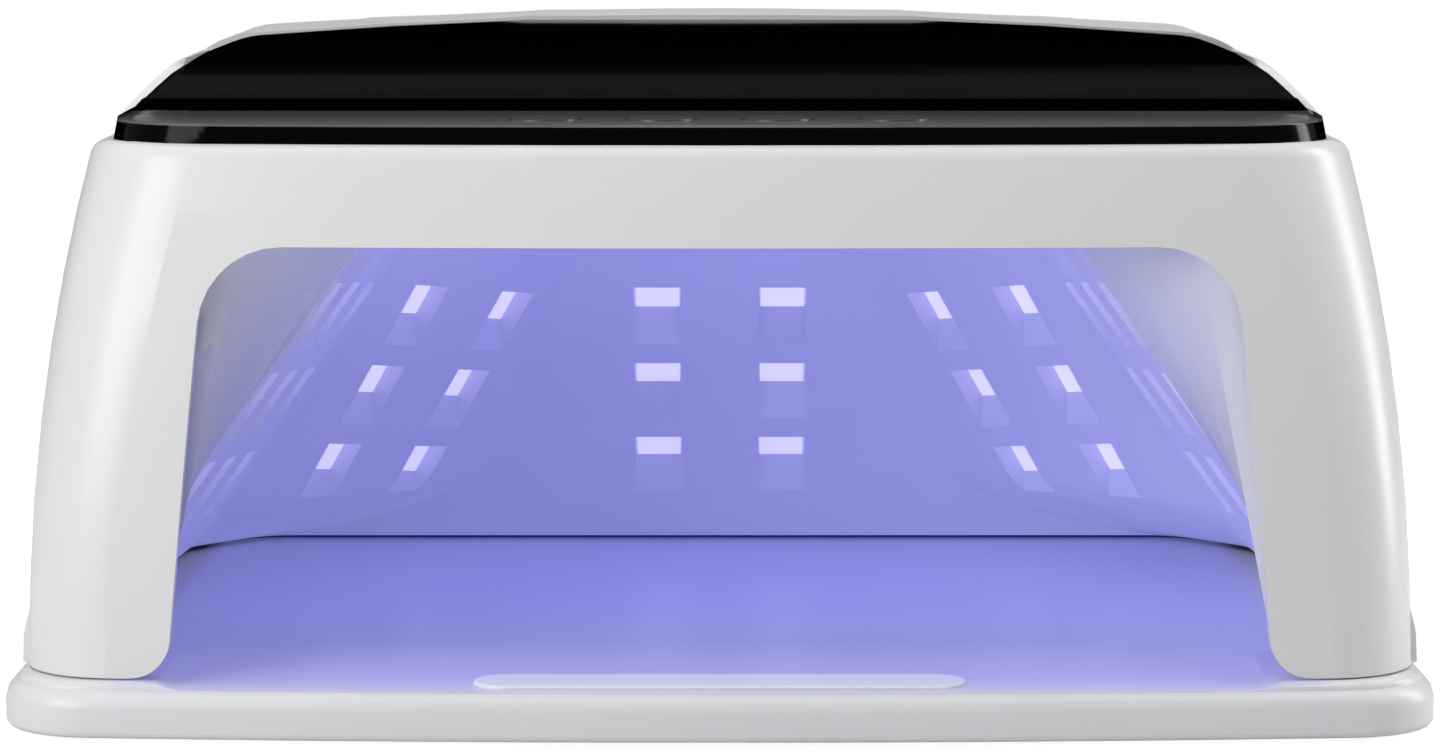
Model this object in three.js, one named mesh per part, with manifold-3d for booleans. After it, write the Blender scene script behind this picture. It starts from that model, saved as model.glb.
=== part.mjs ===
// LED nail lamp: a curing lamp for both hands that stands on a removable tray.
// Millimetres, +Z up, the mouth faces -Y. Every place below is measured from the middle of the width,
// from the foremost point of the tray and from the tray's underside; the last lines centre the lamp
// over its own footprint and lift it onto its rubber feet.

import * as THREE from 'three';
import { mergeVertices } from 'three/addons/utils/BufferGeometryUtils.js';
import Module from 'manifold-3d';

const wasm = await Module();
wasm.setup();

// Clearances
const fitGap = 0.3; // between pieces that seat on each other
const overrun = 3; // how far a cut runs past the piece that it cuts

// Tray
const trayWidth = 243.4;
const trayDepth = 206;
const trayCorner = 15; // plan radius of its corners
const trayBow = 5; // how far the front edge stands forward in the middle
const floorHeight = 8; // where the hands rest
const trayEdgeRound = 1.2; // small round along the bottom edge
const trayFrontRound = 3; // large round from the front face to the floor
const tierHeight = 9.2; // raised rim that the lamp stands on
const tierInset = 2.2; // ledge outside the rim
const channelInset = 4; // the flat floor between the legs is this much narrower than the arch, each side
const channelRise = 8.2; // width of the S curve from the floor up to the rim
const earThickness = 2; // thin ears that hold the lamp sideways
const earEdge = 0.6; // their thickness at the top
const earTop = 20;
const earFront = 30;
const earRearInset = 56; // from the rear of the housing
const earCurveShare = 0.25; // where their outer face starts to draw in
const trayRib = 3;
const trayPocketDepth = 4.5;
const trayPocketSideMargin = 20;
const trayPocketEndMargin = 33.5;
const trayPocketColumns = 4;
const trayPocketRows = 3;

// Bar in the front of the floor that marks where the fingertips point
const guideLength = 80;
const guideWidth = 11;
const guideFront = 6.2;
const guideProud = 0.6;
const guideSunk = 1;

// Rubber feet
const footRadius = 7;
const footHeight = 2.4;
const footProud = 1; // what shows below the tray
const footInset = 22; // from the tray's edges to the middle of a foot

// Housing
const crestHeight = 116.7; // highest point of the lamp
const deckDrop = 18.7; // from there to the top of the front wall
const housingInset = 3.4; // the foot of the housing stands this far inside the tray's sides
const housingLean = 10.3; // how far a side leans in up to the deck
const leanPower = 2.1; // the sides curve in faster and faster
const housingFrontFoot = 4.5; // where the front face starts
const housingFrontLean = 11.1; // how far it leans back up to the deck
const housingRearInset = 10; // from the tray's rear edge
const housingRearLean = 10;
const housingFrontCorner = 15;
const housingFrontCornerDeck = 20;
const housingRearCorner = 34;
const housingRearBow = 4;
const housingWall = 2.5;
const deckRound = 2; // round between the walls and the deck
const rearShoulderDrop = 32; // from the deck to where the rear wall starts to curve forward
const crestInset = 74; // from the rear of the foot forward to the crest
const bossRadius = 4;
const bossHeight = 24;

// Arch of the mouth, on the side of the hands
const legWidth = 25.5;
const archLean = 6.5;
const archDrop = 16.4; // from the deck to the top of the arch
const archCorner = 14;
const legToe = 7; // round at the inner bottom corner of a leg
const linerWall = 1.2;
const linerSetback = 0.4; // the liner's front edge hides behind the edge of the front wall

// Reflector: one plane for the rear, two diagonal ones and two sides, all leaning outwards
const mouthDepth = 35; // where the liner ends and the reflector starts
const reflectorWall = 2;
const ceilingDrop = 12; // from the deck to the ceiling
const ceilingRound = 5;
const rearPlaneInset = 63; // from the rear of the housing's foot
const rearPlaneHeight = 62.5; // the rear plane has that depth at this height
const diagonalCornerInset = 15.4; // from the side plane to the point that the diagonal planes go through
const diagonalPlaneHeight = 40;
const sidePlaneInset = 40.9; // from the half width of the deck
const sidePlaneHeight = 72.8;
const rearSlope = THREE.MathUtils.degToRad(62);
const diagonalSlope = THREE.MathUtils.degToRad(56);
const sideSlope = THREE.MathUtils.degToRad(54.2);
const diagonalTurn = THREE.MathUtils.degToRad(47); // how far it is turned away from the rear plane
const sideTurn = THREE.MathUtils.degToRad(83);
const sideFootTurn = THREE.MathUtils.degToRad(87.1); // at the tray
const skirtFlare = 30; // how far the diagonal corners reach out at the tray
const skirtHeight = 24; // where that flare starts
const skirtCorner = 13; // rounds between the planes, at the tray and higher up
const facetCorner = 9;
const mouthCorner = 2;
const flangeThickness = 2.6;

// Light pockets in the reflector, in rows and columns on each plane; shares are of the cavity's height
const pocketWidth = 9.2;
const pocketDepth = 5.6; // square to the plane
const pocketRiseShare = 0.152; // height of a pocket's mouth
const pocketTopShare = 0.698; // where the mouths of the highest row start
const pocketRowShare = 0.205; // height from row to row
const pocketColumnPitch = 24.6;
const pocketRows = 3;
const diagonalGroupInset = 18.5; // from the rear plane to the middle of a group
const diagonalGroupRise = 1.6; // its rows start this much higher than those of the rear plane
const sideGroupRise = 8;
const diagonalClimbShare = 0.157; // rise of a row towards the front, of its length
const diagonalLeanShare = 0.083; // outward lean of a column, of its length
const sideClimbShare = 0.12;
const sideLeanShare = 0.02;
const sideColumns = 3;
const sideEndShare = 0.25; // of a pitch, cut from the columns at both ends of the side plane together
const padMargin = 4; // thick pad round a group of pockets
const boardThickness = 1.6;
const boardMargin = 3;
const lensThickness = 2.2;

// Black cover with its key shelf
const coverInset = 4.1; // ledge of the deck beside the cover
const coverSideRise = 3.6; // height of its upright side above the deck
const coverSideRound = 2.4;
const coverWaistInset = 2;
const coverWaistRise = 6;
const coverWaistRound = 4;
const coverShoulderInset = 10.4;
const coverShoulderRound = 18;
const crestDrop = 3.6; // from the middle of the crest to the shoulders
const coverEndInset = 18; // the cover ends this far in front of the crest
const shelfDrop = 14.1; // from the crest to the key shelf
const shelfDepth = 47.4; // where the shelf turns up into the dome
const coverWall = 2.2;
const rimProud = 0.7; // how far the housing stands above the cover
const rimWidth = 1.4; // and beside it
const rimReachInset = 7; // the rim along the sides is this wide, seen from above
const rimStart = 48; // depth where the rim along the sides starts to rise
const rimRamp = 30; // and over which it rises
const rampFrontShare = 0.2; // pull of the dome's curve at the shelf and at the crest
const rampTopShare = 0.75;
const rearLowShare = 0.68; // pull of the rear curve at its shoulder and at the crest
const rearTopShare = 0.55;

// Keys and their board
const keyCount = 4;
const keyPitch = 20;
const keyRadius = 6;
const keyDepth = 33; // from the front to the middle of a key
const keyProud = 0.35;
const keyRound = 0.4;
const keyCollar = 1; // width of the collar that keeps a key in
const keyCollarThickness = 1;
const keyTravel = 0.6;
const switchSize = 6;
const switchHeight = 1.5;
const plungerRadius = 1.7;
const plungerHeight = 0.8;
const keyBoardMargin = 16;
const keyBoardLength = 20;
const keyPostRadius = 2.4;

// Main board on the reflector's ceiling
const mainBoardSideInset = 25.1; // from the half width of the cavity
const mainBoardLengthShare = 0.7; // of the ceiling in front of the board's rear edge
const standoffHeight = 3;
const standoffRadius = 2.5;
const standoffInset = 5;
const capacitorRadius = 4;
const capacitorHeight = 9;
const chipSize = 12;
const chipHeight = 1.6;
const driverCount = 5;
const driverSize = 6;

// Socket for the power lead, low in the rear wall
const inletScrewInset = 20; // the socket sits this far inside the outer screws
const inletHeight = 24;
const inletCollarRadius = 6;
const inletBodySize = 11;
const inletBodyLength = 13;
const inletBoreRadius = 3.1;
const inletBoreLength = 9;
const inletPinRadius = 1;
const inletPinSetback = 1.5;

// Air slots in the rear wall
const slotCount = 9;
const slotPitch = 7;
const slotWidth = 2.6;
const slotEndRound = 1.2;
const slotLength = 20;
const slotDrop = 6; // their middle lies this far below the rear shoulder

// Magnets and screws
const magnetRadius = 2.5;
const magnetThickness = 1.4;
const frontMagnetInset = 9.3; // from the side of the housing's foot
const frontMagnetShare = 0.37; // its place between the front wall and the reflector
const rearMagnetInset = 18.3;
const rearMagnetRearInset = 24;
const screwRadius = 1.4;
const screwLength = 9;
const screwHeadRadius = 2.8;
const screwHeadHeight = 1.2;
const screwRearInset = 5;
const outerScrewInset = 36.3; // from the side of the housing's foot
const screwPitch = 48; // from an outer screw to the inner one

// Steps of curves
const arcSteps = 7;
const frontSteps = 12;
const rearSteps = 4;
const roundSteps = 16;

const palette = {
  whiteShell: { color: 0xe9e9ea, roughness: 0.28, metalness: 0 },
  whiteTray: { color: 0xe6e6e8, roughness: 0.32, metalness: 0 },
  reflectorWhite: { color: 0xb9b9f0, roughness: 0.35, metalness: 0 },
  glossBlack: { color: 0x08080a, roughness: 0.12, metalness: 0 },
  keyBlack: { color: 0x1a1a1d, roughness: 0.35, metalness: 0 },
  rubber: { color: 0x2a2a2c, roughness: 0.9, metalness: 0 },
  steel: { color: 0xb8babd, roughness: 0.3, metalness: 1 },
  board: { color: 0xf2f2ee, roughness: 0.5, metalness: 0 },
  greenBoard: { color: 0x1f5a38, roughness: 0.5, metalness: 0 },
  lens: { color: 0xd6d0ff, roughness: 0.15, metalness: 0 },
  inletBlack: { color: 0x151517, roughness: 0.5, metalness: 0 },
};

// Solids

function solidOf(geometry) {
  const bare = geometry.clone();
  bare.deleteAttribute('normal');
  bare.deleteAttribute('uv');
  const merged = mergeVertices(bare);
  return new wasm.Manifold(new wasm.Mesh({
    numProp: 3,
    vertProperties: new Float32Array(merged.attributes.position.array),
    triVerts: new Uint32Array(merged.index.array),
  }));
}

function geometryOf(solid) {
  const mesh = solid.getMesh();
  const geometry = new THREE.BufferGeometry();
  geometry.setAttribute('position', new THREE.BufferAttribute(mesh.vertProperties, 3));
  geometry.setIndex(new THREE.BufferAttribute(mesh.triVerts, 1));
  geometry.computeVertexNormals();
  return geometry;
}

function join(solids) {
  return solids.reduce((whole, solid) => whole.add(solid));
}

function cut(body, tools) {
  return tools.reduce((rest, tool) => rest.subtract(tool), body);
}

function box(low, high) {
  const size = high.clone().sub(low);
  const geometry = new THREE.BoxGeometry(size.x, size.y, size.z);
  const middle = low.clone().add(high).multiplyScalar(0.5);
  return solidOf(geometry.translate(middle.x, middle.y, middle.z));
}

// A block whose three edges run along the given vectors, which needn't be square to each other.
function slantedBlock(centre, alongU, alongV, alongW) {
  const geometry = new THREE.BoxGeometry(1, 1, 1);
  const leftHanded = alongU.clone().cross(alongV).dot(alongW) < 0;
  const first = leftHanded ? alongU.clone().negate() : alongU;
  const frame = new THREE.Matrix4().makeBasis(first, alongV, alongW).setPosition(centre);
  return solidOf(geometry.applyMatrix4(frame));
}

function upright(radius, low, high, x, y, steps = roundSteps) {
  const geometry = new THREE.CylinderGeometry(radius, radius, high - low, steps);
  geometry.rotateX(Math.PI / 2);
  return solidOf(geometry.translate(x, y, (low + high) / 2));
}

function alongDepth(radius, front, rear, x, z, steps = roundSteps) {
  const geometry = new THREE.CylinderGeometry(radius, radius, rear - front, steps);
  return solidOf(geometry.translate(x, (front + rear) / 2, z));
}

// Extrudes a flat outline along one axis of the lamp.
const sweeps = {
  height: [new THREE.Vector3(1, 0, 0), new THREE.Vector3(0, 1, 0), new THREE.Vector3(0, 0, 1)],
  width: [new THREE.Vector3(0, 1, 0), new THREE.Vector3(0, 0, 1), new THREE.Vector3(1, 0, 0)],
  depth: [new THREE.Vector3(1, 0, 0), new THREE.Vector3(0, 0, 1), new THREE.Vector3(0, -1, 0)],
};

function extrude(outline, axis, from, to) {
  const shape = outline instanceof THREE.Shape ? outline : new THREE.Shape(outline);
  const geometry = new THREE.ExtrudeGeometry(shape, {
    depth: to - from,
    bevelEnabled: false,
    curveSegments: arcSteps + 3,
  });
  geometry.translate(0, 0, axis === 'depth' ? -to : from);
  return solidOf(geometry.applyMatrix4(new THREE.Matrix4().makeBasis(...sweeps[axis])));
}

// Rounds every corner of a closed outline and splits the straight runs after each corner.
function roundCorners(corners, radii, splits = []) {
  const arcs = corners.map((corner, index) => {
    const before = corners[(index + corners.length - 1) % corners.length];
    const after = corners[(index + 1) % corners.length];
    const back = before.clone().sub(corner).normalize();
    const ahead = after.clone().sub(corner).normalize();
    if (radii[index] === 0) return [corner.clone()];
    const half = Math.acos(THREE.MathUtils.clamp(back.dot(ahead), -1, 1)) / 2;
    const reach = radii[index] / Math.tan(half);
    const centre = back.clone().add(ahead).normalize();
    centre.multiplyScalar(radii[index] / Math.sin(half)).add(corner);
    const start = back.multiplyScalar(reach).add(corner).sub(centre);
    const end = ahead.multiplyScalar(reach).add(corner).sub(centre);
    const sweep = Math.atan2(start.cross(end), start.dot(end));
    return Array.from({ length: arcSteps + 1 }, (_, step) =>
      start.clone().rotateAround(new THREE.Vector2(), (sweep * step) / arcSteps).add(centre));
  });
  return arcs.flatMap((arc, index) => {
    const count = splits[index] ?? 1;
    const from = arc[arc.length - 1];
    const to = arcs[(index + 1) % arcs.length][0];
    const run = Array.from({ length: count - 1 }, (_, step) => from.clone().lerp(to, (step + 1) / count));
    return [...arc, ...run];
  });
}

// Skins a stack of rings that have equally many points and closes both ends.
function loft(rings, flatten) {
  const count = rings[0].length;
  const last = (rings.length - 1) * count;
  const faces = [];
  for (let level = 0; level < rings.length - 1; level += 1) {
    for (let index = 0; index < count; index += 1) {
      const here = level * count + index;
      const next = level * count + ((index + 1) % count);
      faces.push(here, next, next + count, here, next + count, here + count);
    }
  }
  THREE.ShapeUtils.triangulateShape(rings[0].map(flatten), [])
    .forEach(([a, b, c]) => faces.push(a, c, b));
  THREE.ShapeUtils.triangulateShape(rings[rings.length - 1].map(flatten), [])
    .forEach(([a, b, c]) => faces.push(last + a, last + b, last + c));
  const geometry = new THREE.BufferGeometry();
  const points = rings.flat().flatMap((point) => point.toArray());
  geometry.setAttribute('position', new THREE.Float32BufferAttribute(points, 3));
  geometry.setIndex(faces);
  return solidOf(geometry);
}

const quarterShares = [0, 0.34, 0.67, 1];
const quarterTurn = quarterShares.map((share) => (share * Math.PI) / 2);

const fromAbove = (point) => new THREE.Vector2(point.x, point.y);
const fromFront = (point) => new THREE.Vector2(point.x, point.z);

function raise(outline, height) {
  return outline.map((point) => new THREE.Vector3(point.x, point.y, height));
}

function plan(x, y) {
  return new THREE.Vector2(x, y);
}

// A rounded rectangle in plan whose front and rear edges bow outwards in the middle.
function bowedPlan(half, front, rear, frontRadius, rearRadius, frontBow, rearBow) {
  const corners = [plan(-half, front), plan(half, front), plan(half, rear), plan(-half, rear)];
  const ring = roundCorners(corners, [frontRadius, frontRadius, rearRadius, rearRadius],
    [frontSteps, 1, rearSteps, 1]);
  return ring.map((point) => {
    const aside = (point.x / half) ** 2;
    const toRear = (point.y - front) / (rear - front);
    const shift = frontBow * aside * (1 - toRear) - rearBow * aside * toRear;
    return plan(point.x, point.y + shift);
  });
}

// Housing form

const lampBottom = tierHeight + fitGap;
const housingFootHalf = trayWidth / 2 - housingInset;
const housingDeckHalf = housingFootHalf - housingLean;
const housingDeck = crestHeight - deckDrop;
const housingRearFoot = trayDepth - housingRearInset;
const housingRearDeck = housingRearFoot - housingRearLean;
const rearShoulder = housingDeck - rearShoulderDrop;
const crestDepth = housingRearFoot - crestInset;
const coverHalf = housingDeckHalf - coverInset;
const coverEnd = crestDepth - coverEndInset;
const shelfHeight = crestHeight - shelfDrop;

function housingShare(height) {
  return THREE.MathUtils.clamp((height - lampBottom) / (housingDeck - lampBottom), 0, 1);
}

function housingHalf(height) {
  return housingFootHalf - housingLean * housingShare(height) ** leanPower;
}

function housingFront(height) {
  return housingFrontFoot + housingFrontLean * housingShare(height) ** 2;
}

function housingRear(height) {
  return housingRearFoot - housingRearLean * housingShare(height);
}

function housingRing(height, inset) {
  const corner = THREE.MathUtils.lerp(housingFrontCorner, housingFrontCornerDeck, housingShare(height));
  return bowedPlan(housingHalf(height) - inset, housingFront(height) + inset, housingRear(height) - inset,
    corner - inset, housingRearCorner - inset, trayBow, housingRearBow);
}

function frontFaceDepth(x, height) {
  return housingFront(height) + trayBow * (x / housingHalf(height)) ** 2;
}

// The outline of the top seen from the front: upright side, waist, rounded shoulder and arched crest. It
// lies outside the cover by one amount at the sides and by another above.
function crownOutline(aside, above, bottom) {
  const crest = crestHeight - rimProud + above;
  const shoulderHalf = coverHalf - coverShoulderInset + aside;
  const crestShares = [0.67, 0.33];
  const right = [
    plan(coverHalf + aside, bottom),
    plan(coverHalf + aside, housingDeck + coverSideRise),
    plan(coverHalf - coverWaistInset + aside, housingDeck + coverWaistRise),
    plan(shoulderHalf, crest - crestDrop),
    ...crestShares.map((share) => plan(shoulderHalf * share, crest - crestDrop * share ** 2)),
  ];
  const left = right.map((point) => plan(-point.x, point.y)).reverse();
  const radii = [0, coverSideRound, coverWaistRound, coverShoulderRound, 0, 0];
  return roundCorners([...right, plan(0, crest), ...left], [...radii, 0, ...radii.toReversed()]);
}

// The outline of the top seen from the side: level shelf, ramp, crest and the rear that falls away.
function topProfile(rise, inset = 0) {
  const low = lampBottom - overrun;
  const rear = housingRearFoot + overrun;
  const wall = housingRear(rearShoulder) - inset;
  const crest = crestHeight - rimProud + rise;
  const shelf = shelfHeight + rise;
  const lean = (housingRear(rearShoulder) - housingRearDeck) / rearShoulderDrop;
  const lowPull = (crest - rearShoulder) * rearLowShare;
  const shape = new THREE.Shape();
  shape.moveTo(-overrun, low);
  shape.lineTo(rear, low);
  shape.lineTo(rear, rearShoulder);
  shape.lineTo(wall, rearShoulder);
  shape.bezierCurveTo(wall - lean * lowPull, rearShoulder + lowPull,
    THREE.MathUtils.lerp(crestDepth, wall, rearTopShare), crest, crestDepth, crest);
  const rampLength = crestDepth - shelfDepth;
  shape.bezierCurveTo(crestDepth - rampLength * rampTopShare, crest,
    shelfDepth + rampLength * rampFrontShare, shelf, shelfDepth, shelf);
  shape.lineTo(-overrun, shelf);
  shape.closePath();
  return shape;
}

function housingForm(inset) {
  const heightShares = [0, 0.16, 0.32, 0.48, 0.62, 0.75, 0.88];
  const heights = heightShares.map((share) => THREE.MathUtils.lerp(lampBottom, housingDeck, share));
  const rings = heights.map((height) => raise(housingRing(height, inset), height));
  if (inset > 0) rings.unshift(raise(housingRing(lampBottom, inset), lampBottom - overrun));
  quarterTurn.forEach((angle) => {
    const height = housingDeck - deckRound * (1 - Math.sin(angle));
    rings.push(raise(housingRing(height, inset + deckRound * (1 - Math.cos(angle))), height));
  });
  rings.push(raise(housingRing(housingDeck, inset + deckRound), crestHeight + overrun));
  const walls = loft(rings, fromAbove);
  const below = box(new THREE.Vector3(-trayWidth, -overrun, -overrun),
    new THREE.Vector3(trayWidth, trayDepth + overrun, housingDeck));
  const crown = extrude(crownOutline(rimWidth - inset, rimProud - inset, housingDeck - overrun), 'depth',
    -overrun, trayDepth + overrun).add(below);
  const profile = extrude(topProfile(rimProud - inset, inset), 'width', -trayWidth, trayWidth);
  return { walls, crown, profile };
}

function housingBody(inset) {
  const { walls, crown, profile } = housingForm(inset);
  return walls.intersect(crown).intersect(profile);
}

// Reflector form

function facet(turn, slope, reach, height) {
  const outward = new THREE.Vector3(Math.sin(turn), Math.cos(turn), 0);
  const along = new THREE.Vector3(Math.cos(turn), -Math.sin(turn), 0);
  return { outward, along, slope, reach, height };
}

// The side plane swings about its front edge.
function sideFacetAt(turn) {
  return facet(turn, sideSlope, sidePlaneHalf * Math.sin(turn) + mouthDepth * Math.cos(turn),
    sidePlaneHeight);
}

const ceilingHeight = housingDeck - ceilingDrop;
const rearPlaneDepth = housingRearFoot - rearPlaneInset;
const sidePlaneHalf = housingDeckHalf - sidePlaneInset;
const rearFacet = facet(0, rearSlope, rearPlaneDepth, rearPlaneHeight);
const diagonalFacet = facet(diagonalTurn, diagonalSlope, rearPlaneDepth * Math.cos(diagonalTurn)
  + (sidePlaneHalf - diagonalCornerInset) * Math.sin(diagonalTurn), diagonalPlaneHeight);
const sideFacet = sideFacetAt(sideTurn);

const reflectorBottom = floorHeight + fitGap;
const cavityHeight = ceilingHeight - reflectorBottom;
const pocketRise = cavityHeight * pocketRiseShare;
const pocketTop = reflectorBottom + cavityHeight * pocketTopShare;
const pocketRowRise = cavityHeight * pocketRowShare;

function reachAt(plane, height, grow) {
  return plane.reach + (plane.height - height) / Math.tan(plane.slope) + grow / Math.sin(plane.slope);
}

function meet(first, firstReach, second, secondReach) {
  const size = first.outward.x * second.outward.y - first.outward.y * second.outward.x;
  return plan((firstReach * second.outward.y - secondReach * first.outward.y) / size,
    (first.outward.x * secondReach - second.outward.x * firstReach) / size);
}

const sideEnd = meet(sideFacet, reachAt(sideFacet, pocketTop, 0), diagonalFacet,
  reachAt(diagonalFacet, pocketTop, 0)).y;
const sidePitch = (sideEnd - mouthDepth) / (sideColumns - sideEndShare);

function skirtShare(height) {
  return THREE.MathUtils.clamp((skirtHeight - height) / (skirtHeight - reflectorBottom), 0, 1) ** 2;
}

// The hollow of the reflector at one height, seen from above, with its front edge at the given depth.
function coreRing(height, grow, front) {
  const intoRound = Math.max(0, height - (ceilingHeight + grow - ceilingRound)) / ceilingRound;
  const pull = ceilingRound * (1 - Math.sqrt(Math.max(0, 1 - intoRound ** 2)));
  const flared = skirtShare(height);
  const sideHere = sideFacetAt(THREE.MathUtils.lerp(sideTurn, sideFootTurn, flared));
  const side = reachAt(sideHere, height, grow) - pull;
  const diagonal = reachAt(diagonalFacet, height, grow) - pull + skirtFlare * flared;
  const rear = reachAt(rearFacet, height, grow) - pull;
  const frontLine = { outward: new THREE.Vector3(0, 1, 0) };
  const right = [
    meet(sideHere, side, frontLine, front),
    meet(sideHere, side, diagonalFacet, diagonal),
    meet(diagonalFacet, diagonal, rearFacet, rear),
  ];
  const left = right.map((point) => plan(-point.x, point.y)).reverse();
  const corner = THREE.MathUtils.lerp(facetCorner, skirtCorner, flared);
  return roundCorners([...right, ...left], [mouthCorner, corner, corner, corner, corner, mouthCorner]);
}

function coreBody(grow, front, below) {
  const skirtShares = [0, 0.25, 0.5, 0.75, 1];
  const ceilingShares = [1, 0.5, 0.15, 0];
  const heights = [
    ...skirtShares.map((share) => THREE.MathUtils.lerp(reflectorBottom, skirtHeight, share)),
    ...ceilingShares.map((share) => ceilingHeight + grow - ceilingRound * share),
  ];
  const rings = heights.map((height) => raise(coreRing(height, grow, front), height));
  if (below > 0) rings.unshift(raise(coreRing(reflectorBottom, grow, front), reflectorBottom - below));
  return loft(rings, fromAbove);
}

const groups = [
  { name: 'rear', plane: rearFacet, hand: 1, columns: 2, pitch: pocketColumnPitch, depth: null, rise: 0,
    climb: 0, lean: 0 },
  ...[['right', 1], ['left', -1]].flatMap(([name, hand]) => [
    { name: `${name}_rear`, plane: diagonalFacet, hand, columns: 2, pitch: pocketColumnPitch,
      depth: rearPlaneDepth - diagonalGroupInset, rise: diagonalGroupRise, climb: diagonalClimbShare,
      lean: diagonalLeanShare },
    { name, plane: sideFacet, hand, columns: sideColumns, pitch: sidePitch,
      depth: (mouthDepth + sideEnd) / 2, rise: sideGroupRise, climb: sideClimbShare, lean: sideLeanShare },
  ]),
];

function scaled(direction, length) {
  return direction.clone().multiplyScalar(length);
}

// Directions and places on the plane of one group of lights. Rows climb towards the front and columns lean.
function groupFrame({ plane, hand, depth, rise, climb, lean }) {
  const mirror = new THREE.Vector3(hand, 1, 1);
  const outward = plane.outward.clone().multiply(mirror);
  const level = plane.along.clone().multiply(mirror);
  const up = new THREE.Vector3(0, 0, 1);
  const steep = scaled(outward, Math.cos(plane.slope)).addScaledVector(up, -Math.sin(plane.slope));
  const normal = scaled(outward, Math.sin(plane.slope)).addScaledVector(up, Math.cos(plane.slope));
  const reach = reachAt(plane, pocketTop + rise, 0);
  const shift = depth === null ? 0 : (depth - reach * plane.outward.y) / plane.along.y;
  const origin = scaled(outward, reach).addScaledVector(level, shift);
  origin.z = pocketTop + rise;
  const sine = Math.sin(plane.slope);
  const lift = pocketDepth / Math.cos(plane.slope);
  return {
    along: level.clone().addScaledVector(steep, -climb),
    down: steep.clone().addScaledVector(level, lean),
    up, normal, origin, lift,
    pocketLength: pocketRise / sine,
    runLength: (pocketRowRise * (pocketRows - 1) + pocketRise) / sine,
    backShift: -lift * sine,
  };
}

function onPlane(frame, aside, down, out) {
  return frame.origin.clone().addScaledVector(frame.along, aside).addScaledVector(frame.down, down)
    .addScaledVector(frame.normal, out);
}

function pocketCentres(group, frame) {
  const centres = [];
  const rowLength = pocketRowRise / Math.sin(group.plane.slope);
  for (let row = 0; row < pocketRows; row += 1) {
    for (let column = 0; column < group.columns; column += 1) {
      const aside = (column - (group.columns - 1) / 2) * group.pitch;
      centres.push(onPlane(frame, aside, row * rowLength + frame.pocketLength / 2, 0));
    }
  }
  return centres;
}

function plateOn(group, frame, margin, from, thickness, top) {
  const width = (group.columns - 1) * group.pitch + pocketWidth + 2 * margin;
  const start = top - margin;
  const end = frame.runLength + (from > 0 ? frame.backShift : 0) + margin;
  const centre = onPlane(frame, 0, (start + end) / 2, from + thickness / 2);
  return slantedBlock(centre, scaled(frame.along, width), scaled(frame.down, end - start),
    scaled(frame.normal, thickness));
}

function pocketVoid(frame, centre) {
  return slantedBlock(centre.clone().addScaledVector(frame.up, frame.lift / 2),
    scaled(frame.along, pocketWidth), scaled(frame.down, frame.pocketLength),
    scaled(frame.up, frame.lift + 2 * overrun));
}

function lens(frame, centre, group) {
  const height = (lensThickness + fitGap + boardThickness / 2) / Math.cos(group.plane.slope);
  const lensTop = frame.lift - lensThickness / Math.cos(group.plane.slope) + height;
  return slantedBlock(centre.clone().addScaledVector(frame.up, lensTop - height / 2),
    scaled(frame.along, pocketWidth - 2 * fitGap), scaled(frame.down, frame.pocketLength - 2 * fitGap),
    scaled(frame.up, height));
}

function mouthHalf(height) {
  const turn = THREE.MathUtils.lerp(sideTurn, sideFootTurn, skirtShare(height));
  return reachAt(sideFacetAt(turn), height, 0) / Math.sin(turn) - mouthDepth / Math.tan(turn);
}

// Liner form: the path that the mouth's wall follows from the foot of one leg over to the other

const archHalfFoot = housingFootHalf - legWidth;
const archHalfTop = archHalfFoot - archLean;
const archTop = housingDeck - archDrop;
const archPath = {
  halfFoot: archHalfFoot,
  halfTop: archHalfTop,
  top: archTop,
  corner: archCorner,
  toe: legToe,
};
const mouthHalfFoot = mouthHalf(lampBottom);
const mouthHalfTop = mouthHalf(ceilingHeight);
const mouthPath = { halfFoot: mouthHalfFoot, halfTop: mouthHalfTop, top: ceilingHeight,
  corner: ceilingRound, toe: mouthCorner };

function pathBetween(share) {
  const keys = Object.keys(archPath);
  const between = keys.map((key) => [key, THREE.MathUtils.lerp(archPath[key], mouthPath[key], share)]);
  return Object.fromEntries(between);
}

// One side of the liner's wall; out is how far it lies outside the face that the hands see.
function wallLine({ halfFoot, halfTop, top, corner, toe }, out) {
  const toeEnd = halfFoot + toe;
  const right = [
    plan(toeEnd, lampBottom + out),
    plan(halfFoot + out, lampBottom + out),
    plan(halfTop + out, top + out),
  ];
  const left = right.map((point) => plan(-point.x, point.y)).reverse();
  const radii = [0, toe - out, corner + out, corner + out, toe - out, 0];
  return roundCorners([...right, ...left], radii);
}

// Sweeps an outline from behind the front wall to the reflector. The outline's points run that much
// further at both ends.
function alongLiner(outlineAt, lead) {
  const straight = outlineAt(archPath);
  const wallDepth = (point) => frontFaceDepth(point.x, point.y) + housingWall + fitGap;
  const stationShares = [0, 0.25, 0.5, 0.75, 1];
  const stations = stationShares.map((share) => outlineAt(pathBetween(share)).map((point, index) => {
    const depth = THREE.MathUtils.lerp(wallDepth(straight[index]), mouthDepth - fitGap, share);
    return new THREE.Vector3(point.x, depth, point.y);
  }));
  if (lead > 0) {
    stations.unshift(straight.map((point) => new THREE.Vector3(point.x, -lead, point.y)));
    stations.push(outlineAt(mouthPath)
      .map((point) => new THREE.Vector3(point.x, mouthDepth + lead, point.y)));
  }
  return loft(stations.reverse(), fromFront);
}

function linerBody() {
  return alongLiner((path) => [...wallLine(path, linerSetback + linerWall),
    ...wallLine(path, linerSetback).reverse()], 0);
}

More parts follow.
